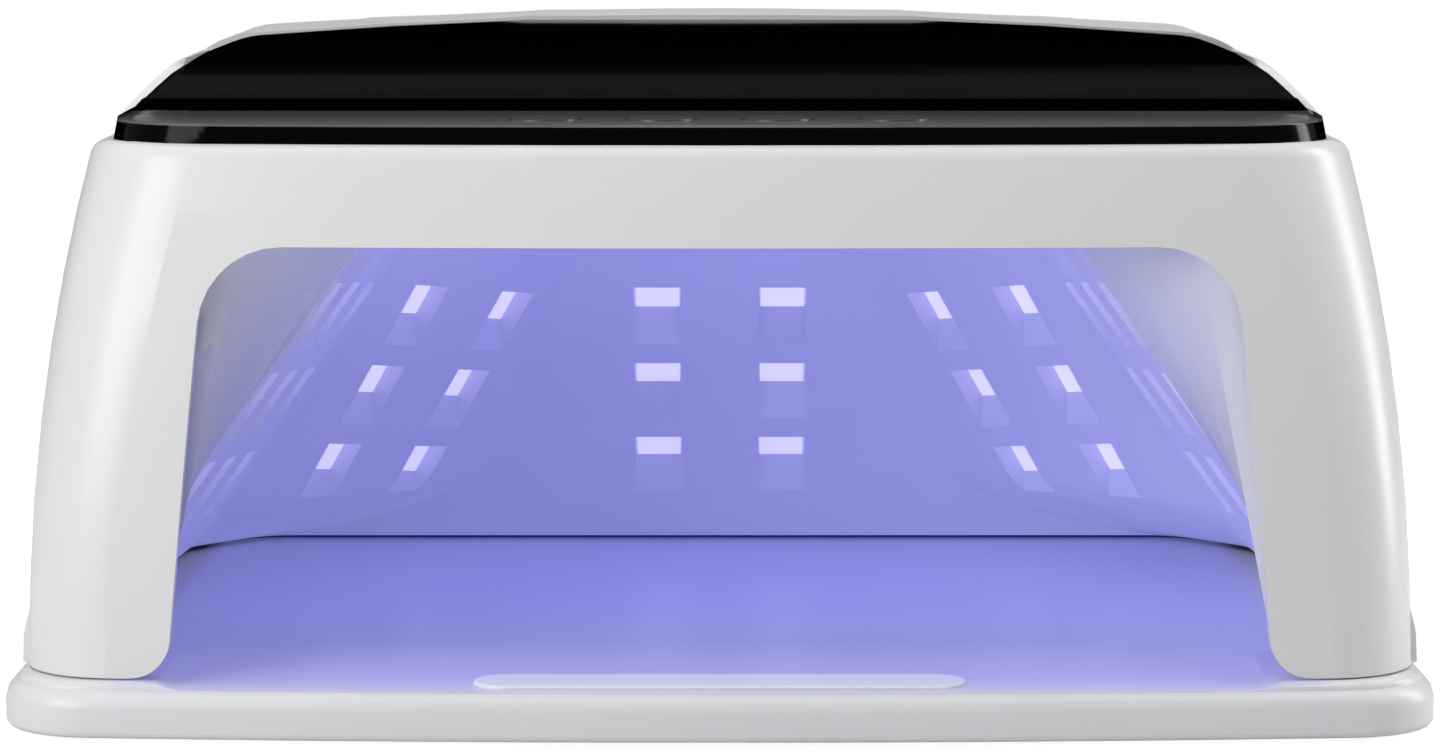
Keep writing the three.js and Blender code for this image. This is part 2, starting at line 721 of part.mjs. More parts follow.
// The whole space under the liner, wall and clearance counted in.
function underLiner() {
  const below = lampBottom - overrun;
  return alongLiner((path) => [
    plan(-path.halfFoot - path.toe, below),
    plan(path.halfFoot + path.toe, below),
    ...wallLine({ ...path, toe: path.toe + fitGap }, linerSetback + linerWall + fitGap),
  ], overrun);
}

// Pieces

const lamp = new THREE.Group();

function place(name, solid, finish) {
  const mesh = new THREE.Mesh(geometryOf(solid), new THREE.MeshStandardMaterial(palette[finish]));
  mesh.name = name;
  lamp.add(mesh);
}

function trayRing(height, inset) {
  return raise(bowedPlan(trayWidth / 2 - inset, inset, trayDepth - inset, trayCorner - inset,
    trayCorner - inset, trayBow, 0), height);
}

const footPlaces = [-1, 1].flatMap((side) => [
  plan(side * (trayWidth / 2 - footInset), footInset),
  plan(side * (trayWidth / 2 - footInset), trayDepth - footInset),
]);
const frontMagnetDepth = THREE.MathUtils.lerp(housingFrontFoot + trayBow + housingWall, mouthDepth,
  frontMagnetShare);
const magnetPlaces = [-1, 1].flatMap((side) => [
  plan(side * (housingFootHalf - frontMagnetInset), frontMagnetDepth),
  plan(side * (housingFootHalf - rearMagnetInset), housingRearFoot - rearMagnetRearInset),
]);
const outerScrewHalf = housingFootHalf - outerScrewInset;
const innerScrewHalf = outerScrewHalf - screwPitch;
const inletSide = outerScrewHalf - inletScrewInset;
const screwPlaces = [-outerScrewHalf, -innerScrewHalf, innerScrewHalf, outerScrewHalf]
  .map((x) => plan(x, housingRearDeck - screwRearInset));
const channelHalf = archHalfFoot - channelInset;

function trayFlange() {
  const low = quarterTurn.map((angle) => trayRing(trayEdgeRound * (1 - Math.cos(angle)),
    trayEdgeRound * (1 - Math.sin(angle))));
  const high = quarterTurn.map((angle) => trayRing(floorHeight - trayFrontRound * (1 - Math.sin(angle)),
    trayFrontRound * (1 - Math.cos(angle))));
  return loft([...low, ...high], fromAbove);
}

function trayTier() {
  const round = tierHeight - floorHeight;
  const edge = quarterTurn.map((angle) => trayRing(tierHeight - round * (1 - Math.sin(angle)),
    tierInset + round * (1 - Math.cos(angle))));
  return loft([trayRing(floorHeight / 2, tierInset), ...edge], fromAbove);
}

// The gap in the rim between the legs, with an S curve on both sides.
function trayChannel() {
  const shape = new THREE.Shape();
  const end = channelHalf + channelRise;
  const over = tierHeight + overrun;
  shape.moveTo(-channelHalf, floorHeight);
  shape.lineTo(channelHalf, floorHeight);
  shape.bezierCurveTo(channelHalf + channelRise / 2, floorHeight, end - channelRise / 2, tierHeight,
    end, tierHeight);
  shape.lineTo(end, over);
  shape.lineTo(-end, over);
  shape.lineTo(-end, tierHeight);
  shape.bezierCurveTo(-end + channelRise / 2, tierHeight, -channelHalf - channelRise / 2, floorHeight,
    -channelHalf, floorHeight);
  return extrude(shape, 'depth', -overrun, mouthDepth + overrun);
}

function trayRecess() {
  const grow = reflectorWall + fitGap;
  const outline = coreRing(reflectorBottom, grow, mouthDepth - fitGap);
  return loft([raise(outline, floorHeight), raise(outline, tierHeight + overrun)], fromAbove);
}

// Ears at both sides, between the legs and the rear, that keep the lamp from sliding off. Their outer
// face draws in towards the top.
function trayEars() {
  const heightShares = [0, 0.4, 0.55, 0.7, 0.85, 1];
  const rings = heightShares.map((share) => {
    const height = THREE.MathUtils.lerp(floorHeight, earTop, share);
    const drawn = THREE.MathUtils.smoothstep(share, earCurveShare, 1);
    const thickness = THREE.MathUtils.lerp(earThickness, earEdge, drawn);
    return raise(housingRing(Math.max(height, lampBottom), -fitGap - thickness), height);
  });
  const inside = [floorHeight, lampBottom, (lampBottom + earTop) / 2, earTop + overrun].map((height) =>
    raise(housingRing(Math.max(height, lampBottom), -fitGap), height));
  const round = (earTop - tierHeight) / 2;
  const earRear = housingRearFoot - earRearInset;
  const corners = [plan(earFront, floorHeight), plan(earRear, floorHeight), plan(earRear, earTop),
    plan(earFront, earTop)];
  const sideView = extrude(roundCorners(corners, [0, 0, round, round]), 'width', -trayWidth, trayWidth);
  return loft(rings, fromAbove).subtract(loft(inside, fromAbove)).intersect(sideView);
}

function trayUnderside() {
  const pitchX = (trayWidth - 2 * trayPocketSideMargin) / trayPocketColumns;
  const pitchY = (trayDepth - 2 * trayPocketEndMargin) / trayPocketRows;
  const pockets = [];
  for (let column = 0; column < trayPocketColumns; column += 1) {
    for (let row = 0; row < trayPocketRows; row += 1) {
      const x = trayPocketSideMargin - trayWidth / 2 + column * pitchX;
      const y = trayPocketEndMargin + row * pitchY;
      pockets.push(box(new THREE.Vector3(x + trayRib / 2, y + trayRib / 2, -overrun),
        new THREE.Vector3(x + pitchX - trayRib / 2, y + pitchY - trayRib / 2, trayPocketDepth)));
    }
  }
  return pockets;
}

function pill(length, width, low, high, middleDepth) {
  const corners = [plan(-length / 2, -width / 2), plan(length / 2, -width / 2),
    plan(length / 2, width / 2), plan(-length / 2, width / 2)];
  const endShare = 0.49;
  const outline = roundCorners(corners, corners.map(() => width * endShare))
    .map((point) => plan(point.x, point.y + middleDepth));
  return extrude(outline, 'height', low, high);
}

const guideMiddle = guideFront + guideWidth / 2;

function makeTray() {
  const sunk = footHeight - footProud + fitGap;
  const body = trayFlange()
    .add(cut(trayTier(), [trayChannel(), trayRecess()]))
    .add(trayEars());
  const footWells = footPlaces.map((at) => upright(footRadius + fitGap, -overrun, sunk, at.x, at.y));
  const magnetWells = magnetPlaces.map((at) =>
    upright(magnetRadius + fitGap, tierHeight - magnetThickness - fitGap, tierHeight + overrun, at.x, at.y));
  const guideWell = pill(guideLength + 2 * fitGap, guideWidth + 2 * fitGap,
    floorHeight - guideSunk - fitGap, floorHeight + overrun, guideMiddle);
  place('base_tray', cut(body, [...trayUnderside(), ...footWells, ...magnetWells, guideWell]), 'whiteTray');
  place('hand_guide_bar', pill(guideLength, guideWidth, floorHeight - guideSunk, floorHeight + guideProud,
    guideMiddle), 'whiteTray');
  footPlaces.forEach((at, index) => {
    place(`foot_${index + 1}`,
      upright(footRadius, -footProud, footHeight - footProud, at.x, at.y), 'rubber');
  });
  magnetPlaces.forEach((at, index) => {
    place(`tray_magnet_${index + 1}`,
      upright(magnetRadius, tierHeight - magnetThickness, tierHeight, at.x, at.y), 'steel');
  });
}

function archCut() {
  const end = archHalfFoot + legToe;
  const low = lampBottom - overrun;
  const outline = [plan(-end, low), plan(end, low), ...wallLine(archPath, 0)];
  return extrude(outline, 'depth', -overrun, housingFront(housingDeck) + trayBow + 2 * housingWall);
}

// Everything that stands in the place of the cover, with the clearance round it, and in front of the rim.
function coverSpace() {
  const top = crestHeight + overrun;
  const crown = extrude(crownOutline(fitGap, fitGap, housingDeck), 'depth', -overrun, coverEnd + fitGap);
  const rimReach = coverHalf - rimReachInset;
  const open = box(new THREE.Vector3(-rimReach, -overrun, housingDeck),
    new THREE.Vector3(rimReach, coverEnd + fitGap, top));
  const sideView = [plan(-overrun, housingDeck), plan(rimStart, housingDeck), plan(rimStart + rimRamp, top),
    plan(-overrun, top)];
  return join([crown, open, extrude(sideView, 'width', -trayWidth, trayWidth)]);
}

function rearSlots() {
  const slots = [];
  for (let index = 0; index < slotCount; index += 1) {
    const x = (index - (slotCount - 1) / 2) * slotPitch;
    const slotHeight = rearShoulder - slotDrop;
    const corners = [plan(x - slotWidth / 2, slotHeight - slotLength / 2),
      plan(x + slotWidth / 2, slotHeight - slotLength / 2),
      plan(x + slotWidth / 2, slotHeight + slotLength / 2),
      plan(x - slotWidth / 2, slotHeight + slotLength / 2)];
    const outline = roundCorners(corners, corners.map(() => slotEndRound));
    slots.push(extrude(outline, 'depth', crestDepth + crestInset / 2, housingRearFoot + overrun));
  }
  return slots;
}

const flangeTop = lampBottom + flangeThickness;

// Screw posts that hang from the rear wall, each with a web behind it.
function screwPosts(form) {
  const posts = screwPlaces.map((at) => {
    const low = flangeTop + fitGap;
    const post = upright(bossRadius, low, low + bossHeight, at.x, at.y);
    const web = box(new THREE.Vector3(at.x - housingWall / 2, at.y, low),
      new THREE.Vector3(at.x + housingWall / 2, housingRearFoot, low + bossHeight));
    return post.add(web);
  });
  return join(posts).intersect(form);
}

function makeHousing() {
  const form = housingBody(0);
  const shell = form.subtract(housingBody(housingWall)).add(screwPosts(form));
  const screwHoles = screwPlaces.map((at) =>
    upright(screwRadius + fitGap, flangeTop, lampBottom + screwHeadHeight + screwLength + 2 * fitGap,
      at.x, at.y));
  const inletHole = alongDepth(inletCollarRadius + fitGap, crestDepth, housingRearFoot + overrun, inletSide,
    inletHeight);
  place('housing_shell', cut(shell, [archCut(), coverSpace(), ...rearSlots(), ...screwHoles, inletHole]),
    'whiteShell');
}

function makeLiner() {
  place('mouth_liner', linerBody(), 'whiteShell');
}

function reflectorFlange() {
  const inset = housingWall + fitGap;
  const plate = loft([raise(housingRing(lampBottom, inset), lampBottom),
    raise(housingRing(flangeTop, inset), flangeTop)], fromAbove);
  const screwHoles = screwPlaces.flatMap((at) => [
    upright(screwRadius + fitGap, 0, trayWidth, at.x, at.y),
    upright(screwHeadRadius + fitGap, 0, lampBottom + screwHeadHeight + fitGap, at.x, at.y),
  ]);
  const magnetWells = magnetPlaces.map((at) =>
    upright(magnetRadius + fitGap, 0, lampBottom + magnetThickness + fitGap, at.x, at.y));
  return cut(plate, [...screwHoles, ...magnetWells, underLiner()]);
}

const ceilingTop = ceilingHeight + reflectorWall;
const mainBoardWidth = 2 * (sidePlaneHalf - mainBoardSideInset);
const standoffReach = reachAt(diagonalFacet, ceilingHeight, 0) - ceilingRound - standoffRadius;
const rearStandoffDepth = (standoffReach - (mainBoardWidth / 2 - standoffInset) * Math.sin(diagonalTurn))
  / Math.cos(diagonalTurn);
const mainBoardRear = rearStandoffDepth + standoffInset;
const mainBoardLength = (mainBoardRear - mouthDepth) * mainBoardLengthShare;
const mainBoardDepth = mainBoardRear - mainBoardLength / 2;
const standoffPlaces = [-1, 1].flatMap((side) => [-1, 1].map((end) =>
  plan(side * (mainBoardWidth / 2 - standoffInset),
    mainBoardDepth + end * (mainBoardLength / 2 - standoffInset))));

function makeReflector() {
  const skin = coreBody(reflectorWall, mouthDepth, 0);
  const pads = groups.map((group) => {
    const frame = groupFrame(group);
    return plateOn(group, frame, padMargin, 0, pocketDepth, frame.backShift);
  });
  const standoffs = standoffPlaces.map((at) =>
    upright(standoffRadius, ceilingHeight, ceilingTop + standoffHeight, at.x, at.y));
  const body = join([skin, reflectorFlange(), ...pads, ...standoffs]);
  const voids = groups.flatMap((group) => {
    const frame = groupFrame(group);
    return pocketCentres(group, frame).map((centre) => pocketVoid(frame, centre));
  });
  const before = box(new THREE.Vector3(-archHalfFoot, -overrun, 0),
    new THREE.Vector3(archHalfFoot, mouthDepth, trayWidth));
  const hollow = coreBody(0, mouthDepth - overrun, overrun);
  place('reflector', cut(body, [hollow, before, ...voids]), 'reflectorWhite');
}

function makeLights() {
  groups.forEach((group) => {
    const frame = groupFrame(group);
    const board = plateOn(group, frame, boardMargin, pocketDepth + fitGap, boardThickness, frame.backShift);
    const lenses = pocketCentres(group, frame).map((centre) => lens(frame, centre, group));
    place(`led_board_${group.name}`, join([board, ...lenses]), 'board');
  });
}

function coverBody(inset) {
  const low = inset > 0 ? housingDeck - overrun : housingDeck + fitGap;
  const crown = extrude(crownOutline(-inset, -inset, housingDeck - overrun), 'depth', 0, coverEnd - inset);
  const profile = extrude(topProfile(-inset), 'width', -trayWidth, trayWidth);
  const corner = housingFrontCornerDeck - deckRound - inset;
  const ring = bowedPlan(coverHalf - inset, housingFront(housingDeck) + deckRound + inset, trayDepth, corner,
    corner, trayBow, 0);
  const walls = extrude(ring, 'height', low, crestHeight + overrun);
  return walls.intersect(crown).intersect(profile);
}

const keyPlaces = Array.from({ length: keyCount }, (_, index) =>
  plan((index - (keyCount - 1) / 2) * keyPitch, keyDepth));
const shelfUnder = shelfHeight - coverWall;
const keyBoardWidth = (keyCount - 1) * keyPitch + 2 * keyBoardMargin;
const keyFoot = shelfUnder - fitGap - keyCollarThickness;
const plungerTop = keyFoot - keyTravel - fitGap;
const keyBoardTop = plungerTop - plungerHeight - switchHeight;
const keyBoardBottom = keyBoardTop - boardThickness;

function makeCover() {
  const keyHoles = keyPlaces.map((at) =>
    upright(keyRadius + fitGap, shelfUnder - overrun, shelfHeight + overrun, at.x, at.y));
  const posts = [-1, 1].map((side) => upright(keyPostRadius, keyBoardTop + fitGap,
    shelfHeight - coverWall / 2, side * (keyBoardWidth / 2 - 2 * keyPostRadius), keyDepth));
  const shell = coverBody(0).subtract(coverBody(coverWall));
  place('control_cover', cut(join([shell, ...posts]), keyHoles), 'glossBlack');
}

function makeKeys() {
  const bendShare = 0.3;
  keyPlaces.forEach((at, index) => {
    const top = shelfHeight + keyProud;
    const profile = [plan(0, keyFoot), plan(keyRadius + keyCollar, keyFoot),
      plan(keyRadius + keyCollar, keyFoot + keyCollarThickness),
      plan(keyRadius, keyFoot + keyCollarThickness),
      plan(keyRadius, top - keyRound), plan(keyRadius - keyRound * bendShare, top - keyRound * bendShare),
      plan(keyRadius - keyRound, top), plan(0, top)];
    const geometry = new THREE.LatheGeometry(profile, roundSteps);
    geometry.rotateX(Math.PI / 2);
    geometry.translate(at.x, at.y, 0);
    place(`key_${index + 1}`, solidOf(geometry), 'keyBlack');
  });
  const board = box(new THREE.Vector3(-keyBoardWidth / 2, keyDepth - keyBoardLength / 2, keyBoardBottom),
    new THREE.Vector3(keyBoardWidth / 2, keyDepth + keyBoardLength / 2, keyBoardTop));
  const switches = keyPlaces.flatMap((at) => [
    box(new THREE.Vector3(at.x - switchSize / 2, at.y - switchSize / 2, keyBoardTop - boardThickness / 2),
      new THREE.Vector3(at.x + switchSize / 2, at.y + switchSize / 2, keyBoardTop + switchHeight)),
    upright(plungerRadius, keyBoardTop, plungerTop, at.x, at.y),
  ]);
  place('key_board', join([board, ...switches]), 'greenBoard');
}

function makeMainBoard() {
  const low = ceilingTop + standoffHeight + fitGap;
  const top = low + boardThickness;
  const half = mainBoardWidth / 2;
  const front = mainBoardDepth - mainBoardLength / 2;
  const board = box(new THREE.Vector3(-half, front, low),
    new THREE.Vector3(half, mainBoardRear, top));
  const chip = box(new THREE.Vector3(-chipSize / 2, mainBoardDepth - chipSize / 2, low + boardThickness / 2),
    new THREE.Vector3(chipSize / 2, mainBoardDepth + chipSize / 2, top + chipHeight));
  const capacitors = [-1, 1].map((side) => upright(capacitorRadius, top - boardThickness / 2,
    top + capacitorHeight, side * (half - 3 * capacitorRadius), mainBoardDepth + capacitorRadius));
  const drivers = Array.from({ length: driverCount }, (_, index) => {
    const x = ((index - (driverCount - 1) / 2) * mainBoardWidth) / (driverCount + 2);
    const y = front + driverSize;
    return box(new THREE.Vector3(x - driverSize / 2, y - driverSize / 2, low + boardThickness / 2),
      new THREE.Vector3(x + driverSize / 2, y + driverSize / 2, top + chipHeight));
  });
  place('main_board', join([board, chip, ...capacitors, ...drivers]), 'greenBoard');
}

function rearFaceDepth(x, height) {
  return housingRear(height) - housingRearBow * (x / housingHalf(height)) ** 2;
}

function makeInlet() {
  const half = inletBodySize / 2;
  const rearFace = rearFaceDepth(inletSide, inletHeight);
  const bodyRear = rearFaceDepth(inletSide + half, inletHeight + half) - housingWall - fitGap;
  const body = box(new THREE.Vector3(inletSide - half, bodyRear - inletBodyLength, inletHeight - half),
    new THREE.Vector3(inletSide + half, bodyRear, inletHeight + half));
  const collar = alongDepth(inletCollarRadius, bodyRear - fitGap, rearFace, inletSide, inletHeight);
  const bore = alongDepth(inletBoreRadius, rearFace - inletBoreLength, rearFace + overrun, inletSide,
    inletHeight);
  const pin = alongDepth(inletPinRadius, rearFace - inletBoreLength - fitGap, rearFace - inletPinSetback,
    inletSide, inletHeight);
  place('dc_inlet', body.add(collar).subtract(bore).add(pin), 'inletBlack');
}

function makeFasteners() {
  magnetPlaces.forEach((at, index) => {
    place(`housing_magnet_${index + 1}`,
      upright(magnetRadius, lampBottom, lampBottom + magnetThickness, at.x, at.y), 'steel');
  });
  screwPlaces.forEach((at, index) => {
    const head = upright(screwHeadRadius, lampBottom, lampBottom + screwHeadHeight, at.x, at.y);
    const shank = upright(screwRadius, lampBottom, lampBottom + screwHeadHeight + screwLength, at.x, at.y);
    place(`housing_screw_${index + 1}`, head.add(shank), 'steel');
  });
}

makeTray();
makeHousing();
makeLiner();
makeReflector();
makeLights();
makeCover();
makeKeys();
makeMainBoard();
makeInlet();
makeFasteners();

lamp.position.set(0, -trayDepth / 2, footProud);
const group = new THREE.Group();
group.add(lamp);

export default group;
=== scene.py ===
import logging
import math
from dataclasses import dataclass
from enum import Enum
from typing import Callable, Optional, Sequence, Union

import bpy
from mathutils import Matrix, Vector


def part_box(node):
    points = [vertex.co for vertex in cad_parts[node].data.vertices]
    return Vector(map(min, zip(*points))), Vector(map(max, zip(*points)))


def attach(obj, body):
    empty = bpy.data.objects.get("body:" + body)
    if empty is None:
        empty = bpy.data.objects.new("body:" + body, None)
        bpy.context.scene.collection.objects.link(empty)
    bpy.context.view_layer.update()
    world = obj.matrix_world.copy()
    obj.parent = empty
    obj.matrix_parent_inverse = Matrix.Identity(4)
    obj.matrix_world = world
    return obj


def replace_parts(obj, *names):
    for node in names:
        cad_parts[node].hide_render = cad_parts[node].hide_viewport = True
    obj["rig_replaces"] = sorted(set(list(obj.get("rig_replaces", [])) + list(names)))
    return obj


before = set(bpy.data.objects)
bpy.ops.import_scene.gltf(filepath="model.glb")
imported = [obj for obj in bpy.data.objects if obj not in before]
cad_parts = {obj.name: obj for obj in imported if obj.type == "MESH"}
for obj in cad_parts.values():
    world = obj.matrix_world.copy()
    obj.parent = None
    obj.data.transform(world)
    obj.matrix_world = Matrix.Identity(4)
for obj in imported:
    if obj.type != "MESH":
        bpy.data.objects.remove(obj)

Colour = tuple[float, float, float]
Place = tuple[float, float, float]
Scale = tuple[float, float, float]
Chooser = Callable[[Vector, Vector], bool]
PointChooser = Callable[[Vector], bool]
Value = Union[bpy.types.NodeSocket, float, tuple[float, ...]]
Sockets = dict[str, bpy.types.NodeSocket]

MM = 0.001
SLACK = 0.05 * MM
MERGE_REACH = 0.002 * MM
FLAT_ANGLE = math.radians(0.2)

logging.basicConfig(level=logging.INFO, format="%(message)s")
log = logging.getLogger("nail_lamp")


class Body(Enum):
    """The bodies of the lamp that a piece can ride on."""

    TRAY = "tray"
    LAMP = "lamp"
    KEY_1 = "key_1_button"
    KEY_2 = "key_2_button"
    KEY_3 = "key_3_button"
    KEY_4 = "key_4_button"


class Shading(Enum):
    """How a piece's faces meet: smooth below this angle, in degrees."""

    SOFT = 50
    MOULDED = 32
    CRISP = 20


class Part(Enum):
    """The parts of a mesh that can be chosen."""

    POINTS = "VERT"
    EDGES = "EDGE"
    FACES = "FACE"


# Modelling by hand, in code


def enter_edit() -> None:
    """Goes to edit mode."""
    bpy.ops.object.mode_set(mode="EDIT")


def leave_edit() -> None:
    """Goes back to object mode."""
    bpy.ops.object.mode_set(mode="OBJECT")


def clear_selection() -> None:
    """Leaves edit mode and deselects every object."""
    if bpy.context.object and bpy.context.object.mode != "OBJECT":
        leave_edit()
    bpy.ops.object.select_all(action="DESELECT")


def take(piece: bpy.types.Object) -> None:
    """Makes one piece the only selected and active one.

    Args:
        piece: the piece that the next operators work on.
    """
    clear_selection()
    piece.select_set(True)
    bpy.context.view_layer.objects.active = piece


def choose_none(piece: bpy.types.Object, part: Part) -> None:
    """Takes a piece and deselects its mesh, so that one kind of part can be chosen.

    Args:
        piece: the piece whose parts are chosen next.
        part: their kind.
    """
    take(piece)
    enter_edit()
    bpy.ops.mesh.select_mode(type=part.value)
    bpy.ops.mesh.select_all(action="DESELECT")
    leave_edit()


def choose_faces(piece: bpy.types.Object, wanted: Chooser) -> None:
    """Selects faces by their middle and normal, and enters edit mode.

    Args:
        piece: the piece whose faces are chosen.
        wanted: says of a face's middle and normal whether it is meant.
    """
    choose_none(piece, Part.FACES)
    for face in piece.data.polygons:
        face.select = wanted(face.center, face.normal)
    enter_edit()


def choose_edges(piece: bpy.types.Object, wanted: PointChooser) -> None:
    """Selects edges by their middle, and enters edit mode.

    Args:
        piece: the piece whose edges are chosen.
        wanted: says of an edge's middle whether it is meant.
    """
    choose_none(piece, Part.EDGES)
    points = piece.data.vertices
    for edge in piece.data.edges:
        first, second = (points[index].co for index in edge.vertices)
        edge.select = wanted((first + second) / 2)
    enter_edit()


def choose_points(piece: bpy.types.Object, wanted: PointChooser) -> None:
    """Selects corners by their place, and enters edit mode.

    Args:
        piece: the piece whose corners are chosen.
        wanted: says of a corner's place whether it is meant.
    """
    choose_none(piece, Part.POINTS)
    for point in piece.data.vertices:
        point.select = wanted(point.co)
    enter_edit()


def stretch(scale: Scale, height: float = 0.0) -> None:
    """Stretches what is selected away from a point on the lamp's upright axis.

    Args:
        scale: how many times longer it gets along each axis.
        height: the height of the point that stays.
    """
    bpy.ops.transform.resize(value=scale, center_override=(0.0, 0.0, height))


def shade(piece: bpy.types.Object, shading: Shading, weighted: bool = True) -> None:
    """Shades a piece smooth below the angle of its shading.

    Args:
        piece: the finished piece.
        shading: how its faces meet.
        weighted: whether its normals follow its large faces.
    """
    take(piece)
    bpy.ops.object.shade_smooth_by_angle(angle=math.radians(shading.value))
    if weighted:
        modifier = piece.modifiers.new("weighted_normal", "WEIGHTED_NORMAL")
        modifier.keep_sharp = True
        bpy.ops.object.modifier_apply(modifier=modifier.name)


def merged_copy(node: str, name: str) -> bpy.types.Object:
    """Copies a CAD node into a piece of its own, with its corners merged.

    Args:
        node: the node that the piece will stand for.
        name: the piece's name.

    Returns:
        The new piece.
    """
    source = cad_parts[node]
    piece = bpy.data.objects.new(name, source.data.copy())
    piece.data.name = name
    piece.data.materials.clear()
    bpy.context.scene.collection.objects.link(piece)
    choose_faces(piece, lambda middle, normal: True)
    bpy.ops.mesh.remove_doubles(threshold=MERGE_REACH)
    bpy.ops.mesh.dissolve_limited(angle_limit=FLAT_ANGLE)
    leave_edit()
    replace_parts(piece, node)
    return piece


# Shader nodes


def solid(colour: Colour, share: float = 1.0) -> tuple[float, ...]:
    """Gives a colour, or a darker share of it, as an opaque socket value."""
    return tuple(share * part for part in colour) + (1.0,)


def give(tree: bpy.types.NodeTree, made: bpy.types.Node, **inputs: Value) -> None:
    """Sets or links a node's inputs.

    Args:
        tree: the tree that holds the node.
        made: the node.
        inputs: inputs as in_NAME or in_NUMBER, given a value or an output to link.
    """
    for name, value in inputs.items():
        key = name.removeprefix("in_").replace("_", " ")
        socket = made.inputs[int(key) if key.isdigit() else key]
        if isinstance(value, bpy.types.NodeSocket):
            tree.links.new(value, socket)
        else:
            socket.default_value = value


def add_node(tree: bpy.types.NodeTree, kind: str, **settings: object) -> bpy.types.Node:
    """Adds a node and sets it.

    Args:
        tree: the tree that gets the node.
        kind: Blender's type of the node.
        settings: its properties, and its inputs as in_NAME or in_NUMBER.

    Returns:
        The new node.
    """
    made = tree.nodes.new(kind)
    inputs = {name: value for name, value in settings.items() if name.startswith("in_")}
    for name, value in settings.items():
        if name not in inputs:
            setattr(made, name, value)
    give(tree, made, **inputs)
    return made


def calculate(tree: bpy.types.NodeTree, operation: str, *terms: Value,
              clamp: bool = False) -> bpy.types.NodeSocket:
    """Adds a calculation.

    Args:
        tree: the tree that gets the calculation.
        operation: Blender's name of the operation.
        terms: its terms in order.
        clamp: whether the result is kept between 0 and 1.

    Returns:
        The output with the result.
    """
    inputs = {f"in_{number}": term for number, term in enumerate(terms)}
    return add_node(tree, "ShaderNodeMath", operation=operation, use_clamp=clamp, **inputs).outputs[0]


def mix(tree: bpy.types.NodeTree, share: Value, first: Value, second: Value) -> bpy.types.NodeSocket:
    """Adds a mix of two numbers.

    Args:
        tree: the tree that gets the mix.
        share: how much of the second number it takes.
        first: the first number.
        second: the second number.

    Returns:
        The output with the mix.
    """
    return add_node(tree, "ShaderNodeMix", in_0=share, in_2=first, in_3=second).outputs[0]


def mix_colours(tree: bpy.types.NodeTree, share: Value, first: Value, second: Value,
                blend: str = "MIX") -> bpy.types.NodeSocket:
    """Adds a mix of two colours.

    Args:
        tree: the tree that gets the mix.
        share: how much of the second colour it takes.
        first: the first colour.
        second: the second colour.
        blend: Blender's name of the way in which they mix.

    Returns:
        The output with the mix.
    """
    made = add_node(tree, "ShaderNodeMix", data_type="RGBA", blend_type=blend, in_0=share, in_6=first,
                    in_7=second)
    return made.outputs[2]


def bump(tree: bpy.types.NodeTree, height: Value, strength: float, depth: float) -> bpy.types.NodeSocket:
    """Adds a bump.

    Args:
        tree: the tree that gets the bump.
        height: the output with the surface's height.
        strength: how strongly it shows.
        depth: how deep it looks.

    Returns:
        The output with the bent normal.
    """
    made = add_node(tree, "ShaderNodeBump", in_Height=height, in_Strength=strength, in_Distance=depth)
    return made.outputs["Normal"]


def start_material(name: str) -> tuple[bpy.types.Material, bpy.types.NodeTree, bpy.types.ShaderNode]:
    """Starts a material with nodes.

    Args:
        name: the material's name.

    Returns:
        The material, its tree and its main shader.
    """
    made = bpy.data.materials.new(name)
    made.use_nodes = True
    return made, made.node_tree, made.node_tree.nodes["Principled BSDF"]


@dataclass(frozen=True)
class Pattern:
    """A noise, with its scale, its detail and how far it is stirred."""

    scale: float
    detail: float
    stir: float = 0.0

    def output(self, tree: bpy.types.NodeTree, place: Value) -> bpy.types.NodeSocket:
        """Adds the noise.

        Args:
            tree: the tree that gets the noise.
            place: the output with the place on the piece.

        Returns:
            The output with the noise.
        """
        made = add_node(tree, "ShaderNodeTexNoise", in_Vector=place, in_Scale=self.scale,
                        in_Detail=self.detail, in_Distortion=self.stir)
        return made.outputs["Fac"]


@dataclass(frozen=True)
class SharedGroup:
    """A node group that is built when the first material asks for it."""

    name: str
    inputs: dict[str, str]
    outputs: dict[str, str]
    fill: Callable[[bpy.types.NodeTree, Sockets], Sockets]

    def tree(self) -> bpy.types.NodeTree:
        """Finds the group, or builds it.

        Returns:
            The group's tree.
        """
        if self.name in bpy.data.node_groups:
            return bpy.data.node_groups[self.name]
        tree = bpy.data.node_groups.new(self.name, "ShaderNodeTree")
        for direction, sockets in (("INPUT", self.inputs), ("OUTPUT", self.outputs)):
            for socket, kind in sockets.items():
                tree.interface.new_socket(socket, in_out=direction, socket_type=f"NodeSocket{kind}")
        given = {socket.name: socket for socket in tree.nodes.new("NodeGroupInput").outputs}
        results = tree.nodes.new("NodeGroupOutput").inputs
        for name, result in self.fill(tree, given).items():
            tree.links.new(result, results[name])
        return tree

    def use(self, tree: bpy.types.NodeTree, **inputs: Value) -> bpy.types.Node:
        """Adds the group to a material.

        Args:
            tree: the material's tree.
            inputs: the group's inputs as in_NAME.

        Returns:
            The node with the group.
        """
        return add_node(tree, "ShaderNodeGroup", node_tree=self.tree(), **inputs)


CLOUDS = Pattern(22.0, 3.0)
CLOUD_LIMITS = (0.35, 0.65)
RUBS = Pattern(70.0, 5.0, 0.6)
NOISE_MIDDLE = 0.5
GRAINS = Pattern(2600.0, 2.0)
RIPPLES = Pattern(38.0, 1.0)
SIDE_FADE = 4.0 * MM


